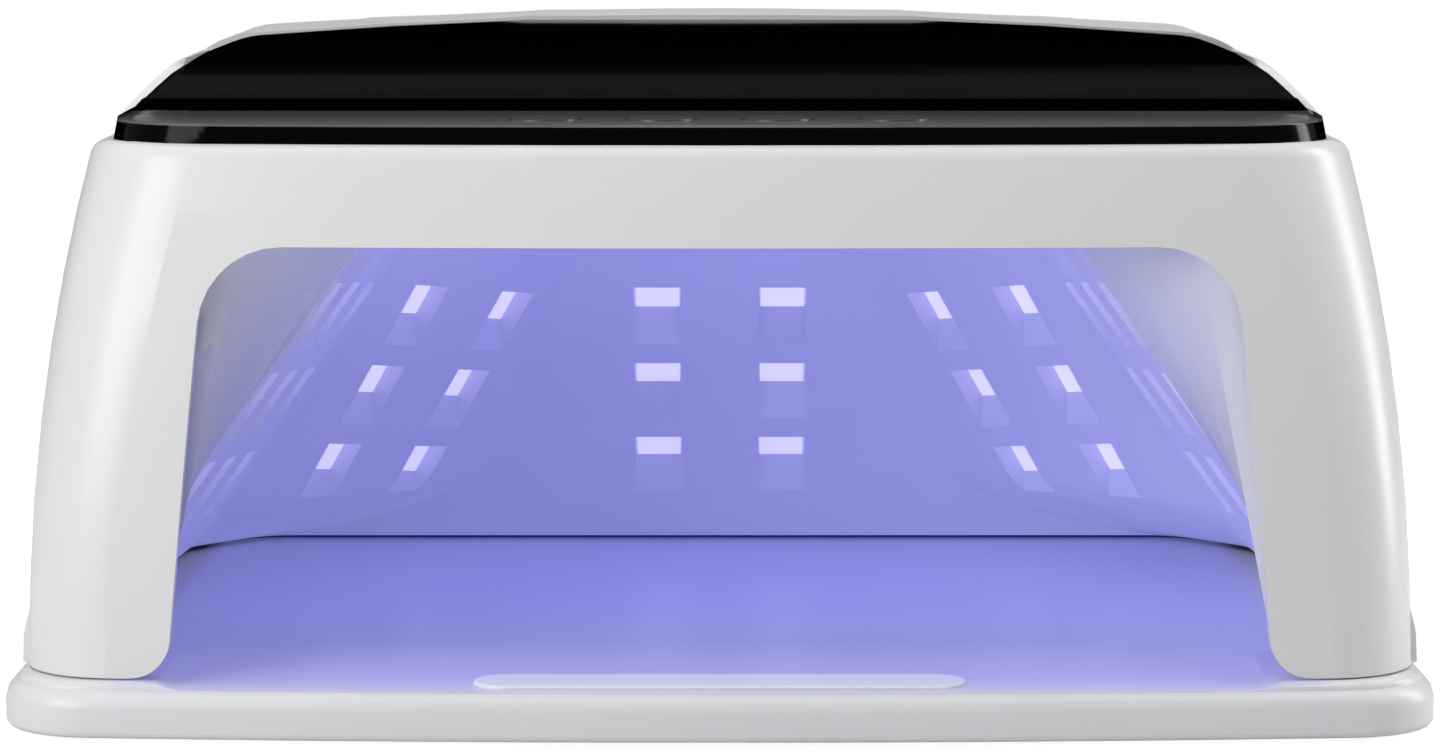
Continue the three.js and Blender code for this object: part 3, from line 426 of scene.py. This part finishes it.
def fill_skin(tree: bpy.types.NodeTree, given: Sockets) -> Sockets:
    """Works out the skin of moulded plastic: cloudy tone, rubbed gloss and fine grain.

    Args:
        tree: the group's tree.
        given: the group's inputs.

    Returns:
        The group's results.
    """
    place = given["Vector"]
    spread = add_node(tree, "ShaderNodeMapRange", in_Value=CLOUDS.output(tree, place),
                      in_1=CLOUD_LIMITS[0], in_2=CLOUD_LIMITS[1])
    amount = calculate(tree, "MULTIPLY", spread.outputs[0], given["Cloud"])
    centred = calculate(tree, "SUBTRACT", RUBS.output(tree, place), NOISE_MIDDLE)
    change = calculate(tree, "MULTIPLY", centred, given["Rub"])
    fine = calculate(tree, "MULTIPLY", GRAINS.output(tree, place), given["Grain"])
    flow = calculate(tree, "MULTIPLY", RIPPLES.output(tree, place), given["Flow"])
    return {
        "Color": mix_colours(tree, amount, given["Tone"], given["Shade"]),
        "Roughness": calculate(tree, "ADD", change, given["Gloss"], clamp=True),
        "Height": calculate(tree, "ADD", fine, flow),
    }


def fill_glow(tree: bpy.types.NodeTree, given: Sockets) -> Sockets:
    """Works out where the lights' glow lies: inside the cavity, fading to its mouth.

    Args:
        tree: the group's tree.
        given: the group's inputs.

    Returns:
        The group's results.
    """
    parts = add_node(tree, "ShaderNodeSeparateXYZ", in_0=given["Vector"]).outputs
    inner = calculate(tree, "SUBTRACT", given["Half"], calculate(tree, "ABSOLUTE", parts["X"]))
    sides = calculate(tree, "DIVIDE", inner, SIDE_FADE, clamp=True)
    behind = calculate(tree, "SUBTRACT", parts["Y"], given["Front"])
    depth = calculate(tree, "DIVIDE", behind, given["Fade"], clamp=True)
    ahead = calculate(tree, "LESS_THAN", parts["Y"], given["Back"])
    mask = calculate(tree, "MULTIPLY", calculate(tree, "MULTIPLY", sides, depth), ahead)
    height = calculate(tree, "DIVIDE", parts["Z"], given["Rise"], clamp=True)
    lowness = calculate(tree, "SUBTRACT", 1.0, height)
    extra = calculate(tree, "MULTIPLY_ADD", lowness, given["Low"], 1.0)
    amount = calculate(tree, "MULTIPLY", mask, extra)
    lit = add_node(tree, "ShaderNodeVectorMath", operation="SCALE", in_0=given["Glow"], in_Scale=amount)
    return {"Color": lit.outputs[0], "Mask": mask}


def fill_painted_band(tree: bpy.types.NodeTree, given: Sockets) -> Sockets:
    """Marks one level of a piece, such as a shelf, for painted shade or a painted reflection, fading
    towards its rear.

    Args:
        tree: the group's tree.
        given: the group's inputs.

    Returns:
        The group's results.
    """
    parts = add_node(tree, "ShaderNodeSeparateXYZ", in_0=given["Vector"]).outputs
    there = calculate(tree, "COMPARE", parts["Z"], given["Level"], given["Reach"])
    behind = calculate(tree, "SUBTRACT", parts["Y"], given["Front"])
    depth = calculate(tree, "DIVIDE", behind, given["Fade"], clamp=True)
    left = calculate(tree, "SUBTRACT", 1.0, depth)
    return {"Mask": calculate(tree, "MULTIPLY", there, left)}


SKIN_GROUP = SharedGroup(
    "moulded_skin",
    {"Vector": "Vector", "Tone": "Color", "Shade": "Color", "Cloud": "Float", "Gloss": "Float",
     "Rub": "Float", "Grain": "Float", "Flow": "Float"},
    {"Color": "Color", "Roughness": "Float", "Height": "Float"},
    fill_skin,
)
GLOW_GROUP = SharedGroup(
    "cavity_glow",
    {"Vector": "Vector", "Glow": "Vector", "Half": "Float", "Front": "Float", "Back": "Float",
     "Fade": "Float", "Low": "Float", "Rise": "Float"},
    {"Color": "Color", "Mask": "Float"},
    fill_glow,
)
PAINTED_BAND_GROUP = SharedGroup(
    "painted_level_band",
    {"Vector": "Vector", "Level": "Float", "Reach": "Float", "Front": "Float", "Fade": "Float"},
    {"Mask": "Float"},
    fill_painted_band,
)


# Finishes


@dataclass(frozen=True)
class Glow:
    """Light that a surface takes from the lamps, painted in as a weak glow of its own and by tinting its
    colour.
    """

    colour: Colour
    strength: float
    tint: Colour = (1.0, 1.0, 1.0)
    half: float = 1.0
    front: float = -1.0
    back: float = 1.0
    fade: float = 10.0 * MM
    low: float = 0.0
    rise: float = 30.0 * MM

    def lit(self, tree: bpy.types.NodeTree, place: Value) -> bpy.types.Node:
        """Adds the glow.

        Args:
            tree: the material's tree.
            place: the output with the place on the piece.

        Returns:
            The node that puts out the glow's colour and mask.
        """
        return GLOW_GROUP.use(tree, in_Vector=place, in_Glow=self.colour, in_Half=self.half,
                              in_Front=self.front, in_Back=self.back, in_Fade=self.fade, in_Low=self.low,
                              in_Rise=self.rise)


@dataclass(frozen=True)
class PaintedBand:
    """A level of a piece with painted shade or a painted reflection in its colour, fading towards its rear.
    """

    level: float
    reach: float
    tone: Colour
    gloss: float
    front: float = 1.0
    fade: float = 10.0 * MM

    def mask(self, tree: bpy.types.NodeTree, place: Value) -> bpy.types.NodeSocket:
        """Adds the band's mask.

        Args:
            tree: the material's tree.
            place: the output with the place on the piece.

        Returns:
            The output with the mask.
        """
        made = PAINTED_BAND_GROUP.use(tree, in_Vector=place, in_Level=self.level, in_Reach=self.reach,
                              in_Front=self.front, in_Fade=self.fade)
        return made.outputs["Mask"]


@dataclass(frozen=True)
class Finish:
    """What every finish has: a name, and a material that is built once."""

    name: str

    def material(self) -> bpy.types.Material:
        """Finds the finish's material, or builds it under a name that the frame doesn't use.

        Returns:
            The material.
        """
        title = f"{self.name}_finish"
        if title in bpy.data.materials:
            return bpy.data.materials[title]
        made, tree, shader = start_material(title)
        self.fill(tree, shader, add_node(tree, "ShaderNodeTexCoord").outputs["Object"])
        return made

    def fill(self, tree: bpy.types.NodeTree, shader: bpy.types.ShaderNode,
             place: bpy.types.NodeSocket) -> None:
        """Builds the material's nodes, which each kind of finish does in its own way.

        Args:
            tree: the material's tree.
            shader: its main shader.
            place: the output with the place on the piece.
        """
        raise NotImplementedError


@dataclass(frozen=True)
class Plastic(Finish):
    """A moulded plastic, with how cloudy, rubbed and grained its surface is."""

    tone: Colour
    shade: Colour
    gloss: float
    cloud: float = 0.5
    rub: float = 0.06
    grain: float = 0.3
    flow: float = 0.3
    sheen: float = 0.5
    relief: float = 0.35
    relief_depth: float = 0.02 * MM
    glow: Optional[Glow] = None
    painted_band: Optional[PaintedBand] = None

    def fill(self, tree: bpy.types.NodeTree, shader: bpy.types.ShaderNode,
             place: bpy.types.NodeSocket) -> None:
        """Builds the plastic's skin, its painted glow and violet tinting, and its strip of painted shade or
        painted reflection.

        Args:
            tree: the material's tree.
            shader: its main shader.
            place: the output with the place on the piece.
        """
        skin = SKIN_GROUP.use(tree, in_Vector=place, in_Tone=solid(self.tone), in_Shade=solid(self.shade),
                              in_Cloud=self.cloud, in_Gloss=self.gloss, in_Rub=self.rub,
                              in_Grain=self.grain, in_Flow=self.flow).outputs
        tone, gloss = skin["Color"], skin["Roughness"]
        if self.glow:
            lit = self.glow.lit(tree, place).outputs
            shining = lit["Color"]
            # painted light: the colour is tinted towards violet where the glow lies
            tone = mix_colours(tree, lit["Mask"], tone, solid(self.glow.tint), "MULTIPLY")
        # painted shade or painted reflection: the strip's colour is mixed into the tone
        if self.painted_band:
            there = self.painted_band.mask(tree, place)
            tone = mix_colours(tree, there, tone, solid(self.painted_band.tone))
            gloss = mix(tree, there, gloss, self.painted_band.gloss)
        # painted shade: the glow is left out inside the painted strip
        if self.glow and self.painted_band:
            shining = mix_colours(tree, there, shining, solid(BLACK))
        if self.glow:
            give(tree, shader, in_Emission_Color=shining, in_Emission_Strength=self.glow.strength)
        give(tree, shader, in_Base_Color=tone, in_Roughness=gloss, in_Specular_IOR_Level=self.sheen,
             in_Normal=bump(tree, skin["Height"], self.relief, self.relief_depth))


@dataclass(frozen=True)
class Metal(Finish):
    """A plated metal with fine turning marks."""

    tone: Colour
    gloss: float
    shade_share: float = 0.8
    cloud: float = 0.6
    rub: float = 0.2
    grain: float = 1.0
    flow: float = 0.2
    relief: float = 0.4
    relief_depth: float = 0.03 * MM

    def fill(self, tree: bpy.types.NodeTree, shader: bpy.types.ShaderNode,
             place: bpy.types.NodeSocket) -> None:
        """Builds the metal's skin.

        Args:
            tree: the material's tree.
            shader: its main shader.
            place: the output with the place on the piece.
        """
        skin = SKIN_GROUP.use(tree, in_Vector=place, in_Tone=solid(self.tone),
                              in_Shade=solid(self.tone, self.shade_share), in_Cloud=self.cloud,
                              in_Gloss=self.gloss, in_Rub=self.rub, in_Grain=self.grain,
                              in_Flow=self.flow).outputs
        give(tree, shader, in_Base_Color=skin["Color"], in_Roughness=skin["Roughness"], in_Metallic=1.0,
             in_Normal=bump(tree, skin["Height"], self.relief, self.relief_depth))


@dataclass(frozen=True)
class Laminate(Finish):
    """A circuit board: solder mask with tracks and pads showing through."""

    mask: Colour
    track: Colour
    pitch: float = 2.4 * MM
    track_width: float = 0.08
    track_length: float = 2.3
    pad_share: float = 0.5
    pad_reach: float = 0.16
    pad_scatter: float = 0.6
    pad_tone: Colour = (0.62, 0.6, 0.5)
    gloss: float = 0.38
    relief: float = 0.5
    relief_depth: float = 0.05 * MM

    def fill(self, tree: bpy.types.NodeTree, shader: bpy.types.ShaderNode,
             place: bpy.types.NodeSocket) -> None:
        """Builds the board's tracks and pads.

        Args:
            tree: the material's tree.
            shader: its main shader.
            place: the output with the place on the piece.
        """
        tracks = add_node(tree, "ShaderNodeTexBrick", in_Vector=place, in_Color1=solid(self.mask),
                          in_Color2=solid(self.mask), in_Mortar=solid(self.track),
                          in_Scale=1.0 / self.pitch, in_Mortar_Size=self.track_width,
                          in_Brick_Width=self.track_length, in_Row_Height=1.0).outputs
        pads = add_node(tree, "ShaderNodeTexVoronoi", in_Vector=place,
                        in_Scale=self.pad_share / self.pitch, in_Randomness=self.pad_scatter)
        near = calculate(tree, "LESS_THAN", pads.outputs["Distance"], self.pad_reach)
        give(tree, shader, in_Base_Color=mix_colours(tree, near, tracks["Color"], solid(self.pad_tone)),
             in_Roughness=self.gloss, in_Normal=bump(tree, tracks["Fac"], self.relief, self.relief_depth))


@dataclass(frozen=True)
class Lens(Finish):
    """A lit lens over a row of small chips."""

    tone: Colour
    glow: Colour
    strength: float
    dim_share: float = 0.86
    chip_scale: float = 420.0
    chip_scatter: float = 0.3
    gloss: float = 0.12

    def fill(self, tree: bpy.types.NodeTree, shader: bpy.types.ShaderNode,
             place: bpy.types.NodeSocket) -> None:
        """Builds the lens's chips and their light.

        Args:
            tree: the material's tree.
            shader: its main shader.
            place: the output with the place on the piece.
        """
        cells = add_node(tree, "ShaderNodeTexVoronoi", in_Vector=place, in_Scale=self.chip_scale,
                         in_Randomness=self.chip_scatter)
        light = mix_colours(tree, cells.outputs["Distance"], solid(self.glow),
                            solid(self.glow, self.dim_share))
        give(tree, shader, in_Base_Color=solid(self.tone), in_Roughness=self.gloss, in_Emission_Color=light,
             in_Emission_Strength=self.strength)


BLACK = (0.0, 0.0, 0.0)
WHITE = (1.0, 1.0, 1.0)
# painted light: the violet that the lamps' light gives the cavity's white surfaces, multiplied into their
# colour
CAVITY_PAINTED_LIGHT = (0.6, 0.6, 0.92)
SHELL_WHITE = Plastic("shell_white", (0.8, 0.8, 0.805), (0.77, 0.77, 0.775), 0.3, flow=0.25)
# painted light: the tray's floor glows violet inside the cavity, fading towards the mouth, and keeps that
# glow when the lamp is lifted off
TRAY_WHITE = Plastic("tray_white", (0.78, 0.78, 0.79), (0.75, 0.75, 0.765), 0.34, flow=0.25,
                     glow=Glow((0.45, 0.47, 1.0), 0.15, CAVITY_PAINTED_LIGHT, half=104.0 * MM, front=-100.0 * MM,
                               back=85.0 * MM, fade=12.0 * MM))
# painted light: the guide bar glows faintly violet all over
BAR_WHITE = Plastic("bar_white", (0.8, 0.8, 0.81), (0.78, 0.78, 0.79), 0.34, flow=0.25,
                    glow=Glow((0.5, 0.6, 1.0), 0.1))
# painted light: the liner glows violet and is tinted violet, fading towards the mouth
LINER_WHITE = Plastic("liner_white", (0.76, 0.76, 0.79), (0.73, 0.73, 0.77), 0.32, flow=0.25,
                      glow=Glow((0.4, 0.42, 1.0), 0.14, (0.7, 0.72, 0.9), front=-97.0 * MM,
                                fade=30.0 * MM))
# painted light: the white reflector is given a lavender colour and a violet glow, stronger lower down, for
# the violet light that falls on it
REFLECTOR_WHITE = Plastic("reflector_white", (0.62, 0.62, 0.84), (0.59, 0.59, 0.82), 0.32,
                          glow=Glow((0.55, 0.58, 1.0), 0.11, low=0.75, rise=50.0 * MM),
                          # painted shade: a dark navy strip along the reflector's lower edge paints the
                          # shade in its seam with the tray
                          painted_band=PaintedBand(9.3 * MM, 0.55 * MM, (0.03, 0.03, 0.3), 0.5))
# painted reflection: a grey strip on the shelf, fading towards the rear, paints in the reflection of the
# light above it
COVER_BLACK = Plastic("cover_black", (0.0005, 0.0005, 0.0005), (0.0008, 0.0008, 0.0008), 0.12, cloud=0.4,
                      rub=0.05, grain=0.1, flow=0.15, sheen=0.12,
                      painted_band=PaintedBand(102.8 * MM, 0.45 * MM, (0.2, 0.2, 0.2), 0.3, -103.0 * MM, 62.0 * MM))
KEY_BLACK = Plastic("key_black", (0.07, 0.07, 0.072), (0.075, 0.075, 0.077), 0.32, grain=0.8)
INLET_BLACK = Plastic("inlet_black", (0.02, 0.02, 0.022), (0.03, 0.03, 0.032), 0.45, grain=1.0)
RUBBER = Plastic("rubber", (0.035, 0.035, 0.037), (0.05, 0.05, 0.052), 0.8, rub=0.1, grain=1.4)
STEEL = Metal("steel", (0.6, 0.61, 0.62), 0.26)
WHITE_BOARD = Laminate("led_board", (0.82, 0.82, 0.79), (0.7, 0.7, 0.66))
GREEN_BOARD = Laminate("circuit_board", (0.012, 0.09, 0.04), (0.03, 0.19, 0.09), pitch=1.5 * MM)
LED_LENS = Lens("led_lens", (0.8, 0.8, 0.9), (0.74, 0.7, 1.0), 0.62)


def finish(piece: bpy.types.Object, look: Finish, body: Optional[Body] = None) -> None:
    """Gives a piece its material, and a new piece its body.

    Args:
        piece: the piece to dress.
        look: its finish.
        body: the body that it rides on; a CAD node has one already.
    """
    piece.data.materials.clear()
    piece.data.materials.append(look.material())
    if body:
        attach(piece, body.value)
    log.info("%s: %d faces, %s", piece.name, len(piece.data.polygons), look.name)


def dress_nodes(names: Sequence[str], look: Finish) -> None:
    """Gives CAD nodes that stay as they are their finish.

    Args:
        names: the nodes' names.
        look: their finish.
    """
    for name in names:
        finish(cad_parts[name], look)


# Sub-assemblies

SIDES = (-1.0, 1.0)
CORNERS = range(1, 5)
RIM_STEPS = ((103.5 * MM, 0.3 * MM), (106.5 * MM, 0.3 * MM), (109.5 * MM, 0.3 * MM), (112.5 * MM, 0.2 * MM))


@dataclass
class Tray:
    """The tray that the lamp stands on, with its guide bar, feet and magnets."""

    edge_round: float = 0.5 * MM
    edge_steps: int = 4
    bar_stretch: float = 1.04

    def build(self) -> None:
        """Makes the tray's pieces and dresses its nodes."""
        tray = merged_copy("base_tray", "tray_moulding")
        shade(tray, Shading.MOULDED)
        finish(tray, TRAY_WHITE, Body.TRAY)
        self.guide_bar()
        dress_nodes([f"foot_{number}" for number in CORNERS], RUBBER)
        dress_nodes([f"tray_magnet_{number}" for number in CORNERS], STEEL)

    def guide_bar(self) -> None:
        """Makes the bar with its rounded top edge."""
        bar = merged_copy("hand_guide_bar", "guide_bar_moulding")
        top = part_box("hand_guide_bar")[1].z
        choose_edges(bar, lambda middle: middle.z > top - SLACK)
        bpy.ops.mesh.bevel(offset=self.edge_round, segments=self.edge_steps)
        choose_points(bar, lambda place: True)
        stretch((self.bar_stretch, 1.0, 1.0))
        leave_edit()
        shade(bar, Shading.SOFT)
        finish(bar, BAR_WHITE, Body.TRAY)


@dataclass
class Housing:
    """The white shell with its mouth liner."""

    crest_base: float = 113.0 * MM
    crest_lifts: tuple[tuple[float, float], ...] = ((70.0 * MM, 0.15 * MM), (55.0 * MM, 0.25 * MM),
                                                    (40.0 * MM, 0.2 * MM), (25.0 * MM, 0.15 * MM),
                                                    (12.0 * MM, 0.05 * MM))
    deck: float = 99.0 * MM
    deck_reach: float = 1.0 * MM
    deck_front: float = -70.0 * MM
    deck_lift: float = 0.4 * MM
    rim_side: float = 50.0 * MM
    rim_end: float = 10.0 * MM
    rim_lean: float = 0.6

    def build(self) -> None:
        """Makes the shell and the liner."""
        shell = merged_copy("housing_shell", "housing_moulding")
        self.bow_crest(shell)
        self.thicken_rim(shell)
        choose_points(shell, lambda place: self.deck - self.deck_reach < place.z < self.deck + SLACK
                      and place.y < self.deck_front)
        bpy.ops.transform.translate(value=(0.0, 0.0, self.deck_lift))
        leave_edit()
        shade(shell, Shading.MOULDED)
        finish(shell, SHELL_WHITE, Body.LAMP)
        liner = merged_copy("mouth_liner", "mouth_moulding")
        shade(liner, Shading.SOFT, weighted=False)
        finish(liner, LINER_WHITE, Body.LAMP)

    def bow_crest(self, shell: bpy.types.Object) -> None:
        """Arches the crest from side to side in a few shallow steps.

        Args:
            shell: the shell that carries the crest.
        """
        for reach, _ in self.crest_lifts:
            for side in SIDES:
                choose_faces(shell, lambda middle, normal: middle.z > self.crest_base)
                bpy.ops.mesh.bisect(plane_co=(side * reach, 0.0, 0.0), plane_no=(1.0, 0.0, 0.0))
        for reach, lift in self.crest_lifts:
            choose_points(shell, lambda place: place.z > self.crest_base and abs(place.x) < reach - SLACK)
            bpy.ops.transform.translate(value=(0.0, 0.0, lift))
        leave_edit()

    def thicken_rim(self, shell: bpy.types.Object) -> None:
        """Moves the inner walls of the rim beside the cover inwards.

        Args:
            shell: the shell that carries the rim.
        """
        for side in SIDES:
            outward = Vector((side, 0.0, 1.0)).normalized()
            for level, growth in RIM_STEPS:
                choose_faces(shell, lambda middle, normal: normal.dot(outward) < -self.rim_lean
                             and middle.z > level and middle.x * side > self.rim_side
                             and middle.y < self.rim_end)
                bpy.ops.transform.translate(value=(-side * growth, 0.0, 0.0))
            leave_edit()


@dataclass
class Cavity:
    """The reflector with its light boards behind the pockets."""

    groups: tuple[str, ...] = ("rear", "right_rear", "left_rear", "right", "left")
    board_thickness: float = 1.6 * MM
    lens_cut: float = 1.8 * MM
    lens_lean: float = 0.7

    def build(self) -> None:
        """Makes the reflector, the boards and their lit lenses."""
        reflector = merged_copy("reflector", "reflector_moulding")
        shade(reflector, Shading.MOULDED)
        finish(reflector, REFLECTOR_WHITE, Body.LAMP)
        for group in self.groups:
            self.light_board(group)

    def light_board(self, group: str) -> None:
        """Parts the lenses of one group from its board.

        Args:
            group: the group's name in its node.
        """
        board = merged_copy(f"led_board_{group}", f"light_board_{group}")
        back = max(board.data.polygons, key=lambda face: face.area)
        outward = -back.normal
        level = back.center.dot(outward) + self.board_thickness
        choose_faces(board, lambda middle, normal: middle.dot(outward) > level + SLACK)
        bpy.ops.mesh.separate(type="SELECTED")
        leave_edit()
        lenses = next(piece for piece in bpy.context.selected_objects if piece is not board)
        lenses.name = f"light_lenses_{group}"
        del lenses["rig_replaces"]
        for piece in (lenses, board):
            choose_none(piece, Part.EDGES)
            enter_edit()
            bpy.ops.mesh.select_non_manifold()
            bpy.ops.mesh.fill_holes(sides=0)
            leave_edit()
        shade(board, Shading.CRISP)
        finish(board, WHITE_BOARD, Body.LAMP)
        if group.endswith("_rear"):
            self.shorten(lenses, outward)
        shade(lenses, Shading.CRISP)
        finish(lenses, LED_LENS, Body.LAMP)

    def shorten(self, lenses: bpy.types.Object, outward: Vector) -> None:
        """Cuts the lower ends of a group's lenses short.

        Args:
            lenses: the lenses.
            outward: the way that they face.
        """
        slope = (Vector((0.0, 0.0, 1.0)) - outward * outward.z).normalized()
        choose_faces(lenses, lambda middle, normal: normal.dot(slope) < -self.lens_lean)
        bpy.ops.transform.translate(value=slope * self.lens_cut)
        leave_edit()


@dataclass
class ControlTop:
    """The black cover with its keys and their board."""

    shelf: float = 103.6 * MM
    sink: float = 0.8 * MM
    level_lean: float = 0.9
    lip_front: float = -85.0 * MM
    lip_side: float = 90.0 * MM
    lip_round: float = 0.7 * MM
    lip_steps: int = 4
    foot: float = 100.0 * MM
    foot_stretch: float = 1.0075
    crest_base: float = 105.0 * MM
    crest_stretch: float = 1.05
    rim_side: float = 60.0 * MM
    key_reach: float = 0.3 * MM

    def build(self) -> None:
        """Makes the cover and the keys, and dresses their boards."""
        self.cover()
        for number, body in enumerate((Body.KEY_1, Body.KEY_2, Body.KEY_3, Body.KEY_4), start=1):
            self.key(number, body)
        dress_nodes(["key_board", "main_board"], GREEN_BOARD)

    def cover(self) -> None:
        """Makes the cover: a lower shelf with a round lip, a wider foot and a higher, narrower crest."""
        cover = merged_copy("control_cover", "cover_moulding")
        choose_faces(cover, lambda middle, normal: abs(middle.z - self.shelf) < SLACK
                     and normal.z > self.level_lean)
        bpy.ops.transform.translate(value=(0.0, 0.0, -self.sink))
        sunk = self.shelf - self.sink
        choose_edges(cover, lambda middle: abs(middle.z - sunk) < SLACK
                     and (middle.y < self.lip_front or abs(middle.x) > self.lip_side))
        bpy.ops.mesh.bevel(offset=self.lip_round, segments=self.lip_steps)
        choose_points(cover, lambda place: place.z < self.foot)
        stretch((self.foot_stretch, 1.0, 1.0))
        choose_points(cover, lambda place: place.z > self.crest_base)
        stretch((1.0, 1.0, self.crest_stretch), self.crest_base)
        for side in SIDES:
            for level, growth in RIM_STEPS:
                choose_points(cover, lambda place: place.z > level and place.x * side > self.rim_side)
                bpy.ops.transform.translate(value=(-side * growth, 0.0, 0.0))
        leave_edit()
        shade(cover, Shading.MOULDED)
        finish(cover, COVER_BLACK, Body.LAMP)

    def key(self, number: int, body: Body) -> None:
        """Makes one key, which sinks with the shelf.

        Args:
            number: the key's number in its node.
            body: the body that it rides on.
        """
        key = merged_copy(f"key_{number}", f"key_cap_{number}")
        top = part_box(f"key_{number}")[1].z
        choose_faces(key, lambda middle, normal: middle.z > top - self.key_reach)
        bpy.ops.transform.translate(value=(0.0, 0.0, -self.sink))
        leave_edit()
        shade(key, Shading.MOULDED)
        finish(key, KEY_BLACK, body)


@dataclass
class Fittings:
    """The power socket, magnets and screws of the lamp."""

    def build(self) -> None:
        """Dresses the small parts."""
        dress_nodes(["dc_inlet"], INLET_BLACK)
        dress_nodes([f"housing_magnet_{number}" for number in CORNERS], STEEL)
        dress_nodes([f"housing_screw_{number}" for number in CORNERS], STEEL)


# The studio


@dataclass(frozen=True)
class RayLevels:
    """A brightness each for rays that only carry light, for direct sight and for mirroring surfaces."""

    lighting: float
    seen: float
    mirrored: float

    def output(self, tree: bpy.types.NodeTree) -> bpy.types.NodeSocket:
        """Adds the brightness.

        Args:
            tree: the material's or world's tree.

        Returns:
            The output with the brightness.
        """
        path = add_node(tree, "ShaderNodeLightPath").outputs
        direct = calculate(tree, "MAXIMUM", path["Is Camera Ray"], path["Is Transmission Ray"])
        glossy = mix(tree, path["Is Glossy Ray"], self.lighting, self.mirrored)
        return mix(tree, direct, glossy, self.seen)


@dataclass(frozen=True)
class Softbox:
    """A rectangular lamp with its middle, the point that it faces, its sides in metres and its watts."""

    name: str
    place: Place
    aim: Place
    width: float
    height: float
    power: float
    colour: Colour = WHITE
    mirrored: bool = True

    def hang(self) -> None:
        """Hangs the lamp."""
        data = bpy.data.lights.new(self.name, "AREA")
        data.shape = "RECTANGLE"
        data.size, data.size_y = self.width, self.height
        data.energy = self.power
        data.color = self.colour
        lamp = bpy.data.objects.new(self.name, data)
        lamp.location = self.place
        lamp.rotation_mode = "QUATERNION"
        lamp.rotation_quaternion = (Vector(self.aim) - Vector(self.place)).to_track_quat("-Z", "Y")
        lamp.visible_glossy = self.mirrored
        bpy.context.scene.collection.objects.link(lamp)


@dataclass
class Studio:
    """Camera, floor, world and lamps, with the violet light inside the cavity."""

    eye: Place = (0.0, -0.788, 0.148)
    tilt: float = 82.9
    lens: float = 105.0
    sensor: float = 36.0
    sight: float = 100.0
    floor_size: float = 24.0
    floor_tone: Colour = (0.7, 0.7, 0.7)
    floor_gloss: float = 0.9
    floor_levels: RayLevels = RayLevels(0.0, 0.9, 0.05)
    world_levels: RayLevels = RayLevels(0.14, 1.0, 0.2)
    flag_place: Place = (0.0, 1.3, 0.75)
    flag_size: Scale = (4.0, 1.5, 1.0)
    softboxes: tuple[Softbox, ...] = (
        Softbox("key_left", (-0.5, -0.52, 0.28), (-0.05, -0.08, 0.05), 0.4, 0.4, 2.25),
        Softbox("rim_right", (0.75, 0.08, 0.3), (0.0, 0.0, 0.06), 0.2, 0.7, 3.4),
        Softbox("top", (0.0, -0.2, 0.9), (0.0, 0.0, 0.1), 1.0, 0.6, 5.0, mirrored=False),
        Softbox("behind", (0.0, 0.75, 0.75), (0.0, 0.0, 0.11), 1.4, 0.4, 4.0, mirrored=False),
        Softbox("violet_down", (0.0, 0.0, 0.0845), (0.0, 0.0, 0.0), 0.1, 0.06, 0.008, (0.2, 0.2, 1.0)),
        Softbox("violet_back", (0.0, -0.045, 0.07), (0.0, 0.05, 0.03), 0.12, 0.02, 0.006,
                (0.3, 0.28, 1.0)),
    )

    def camera(self) -> None:
        """Sets the camera where the photograph was taken from."""
        data = bpy.data.cameras.new("camera")
        data.lens = self.lens
        data.sensor_width = self.sensor
        data.clip_end = self.sight
        camera = bpy.data.objects.new("camera", data)
        camera.location = self.eye
        camera.rotation_euler = (math.radians(self.tilt), 0.0, 0.0)
        bpy.context.scene.collection.objects.link(camera)
        bpy.context.scene.camera = camera

    def floor(self) -> None:
        """Lays the white floor."""
        clear_selection()
        bpy.ops.mesh.primitive_plane_add(size=self.floor_size, location=(0.0, 0.0, 0.0))
        floor = bpy.context.object
        floor.name = "floor"
        material, tree, shader = start_material("floor_white")
        give(tree, shader, in_Base_Color=solid(self.floor_tone), in_Roughness=self.floor_gloss,
             in_Emission_Color=solid(WHITE), in_Emission_Strength=self.floor_levels.output(tree))
        floor.data.materials.append(material)

    def flag(self) -> None:
        """Stands a black flag behind the lamp, which only its mirroring surfaces see."""
        clear_selection()
        bpy.ops.mesh.primitive_plane_add(size=1.0, location=self.flag_place,
                                         rotation=(math.pi / 2, 0.0, 0.0))
        flag = bpy.context.object
        flag.name = "flag"
        flag.scale = self.flag_size
        flag.visible_camera = False
        flag.visible_diffuse = False
        flag.visible_shadow = False
        material, tree, shader = start_material("flag_black")
        give(tree, shader, in_Base_Color=solid(BLACK), in_Specular_IOR_Level=0.0)
        flag.data.materials.append(material)

    def world(self) -> None:
        """Sets the white world."""
        world = bpy.data.worlds.new("world")
        world.use_nodes = True
        bpy.context.scene.world = world
        tree = world.node_tree
        give(tree, tree.nodes["Background"], in_Color=self.world_levels.output(tree))

    def build(self) -> None:
        """Sets up the whole studio, with plain colours."""
        self.camera()
        self.floor()
        self.flag()
        self.world()
        for softbox in self.softboxes:
            softbox.hang()
        bpy.context.scene.view_settings.view_transform = "Standard"


def main() -> None:
    """Builds the lamp's looks around its frame."""
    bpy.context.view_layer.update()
    Studio().build()
    for assembly in (Tray(), Housing(), Cavity(), ControlTop(), Fittings()):
        assembly.build()
        log.info("%s is ready", type(assembly).__name__)
    clear_selection()


if __name__ == "__main__":
    main()
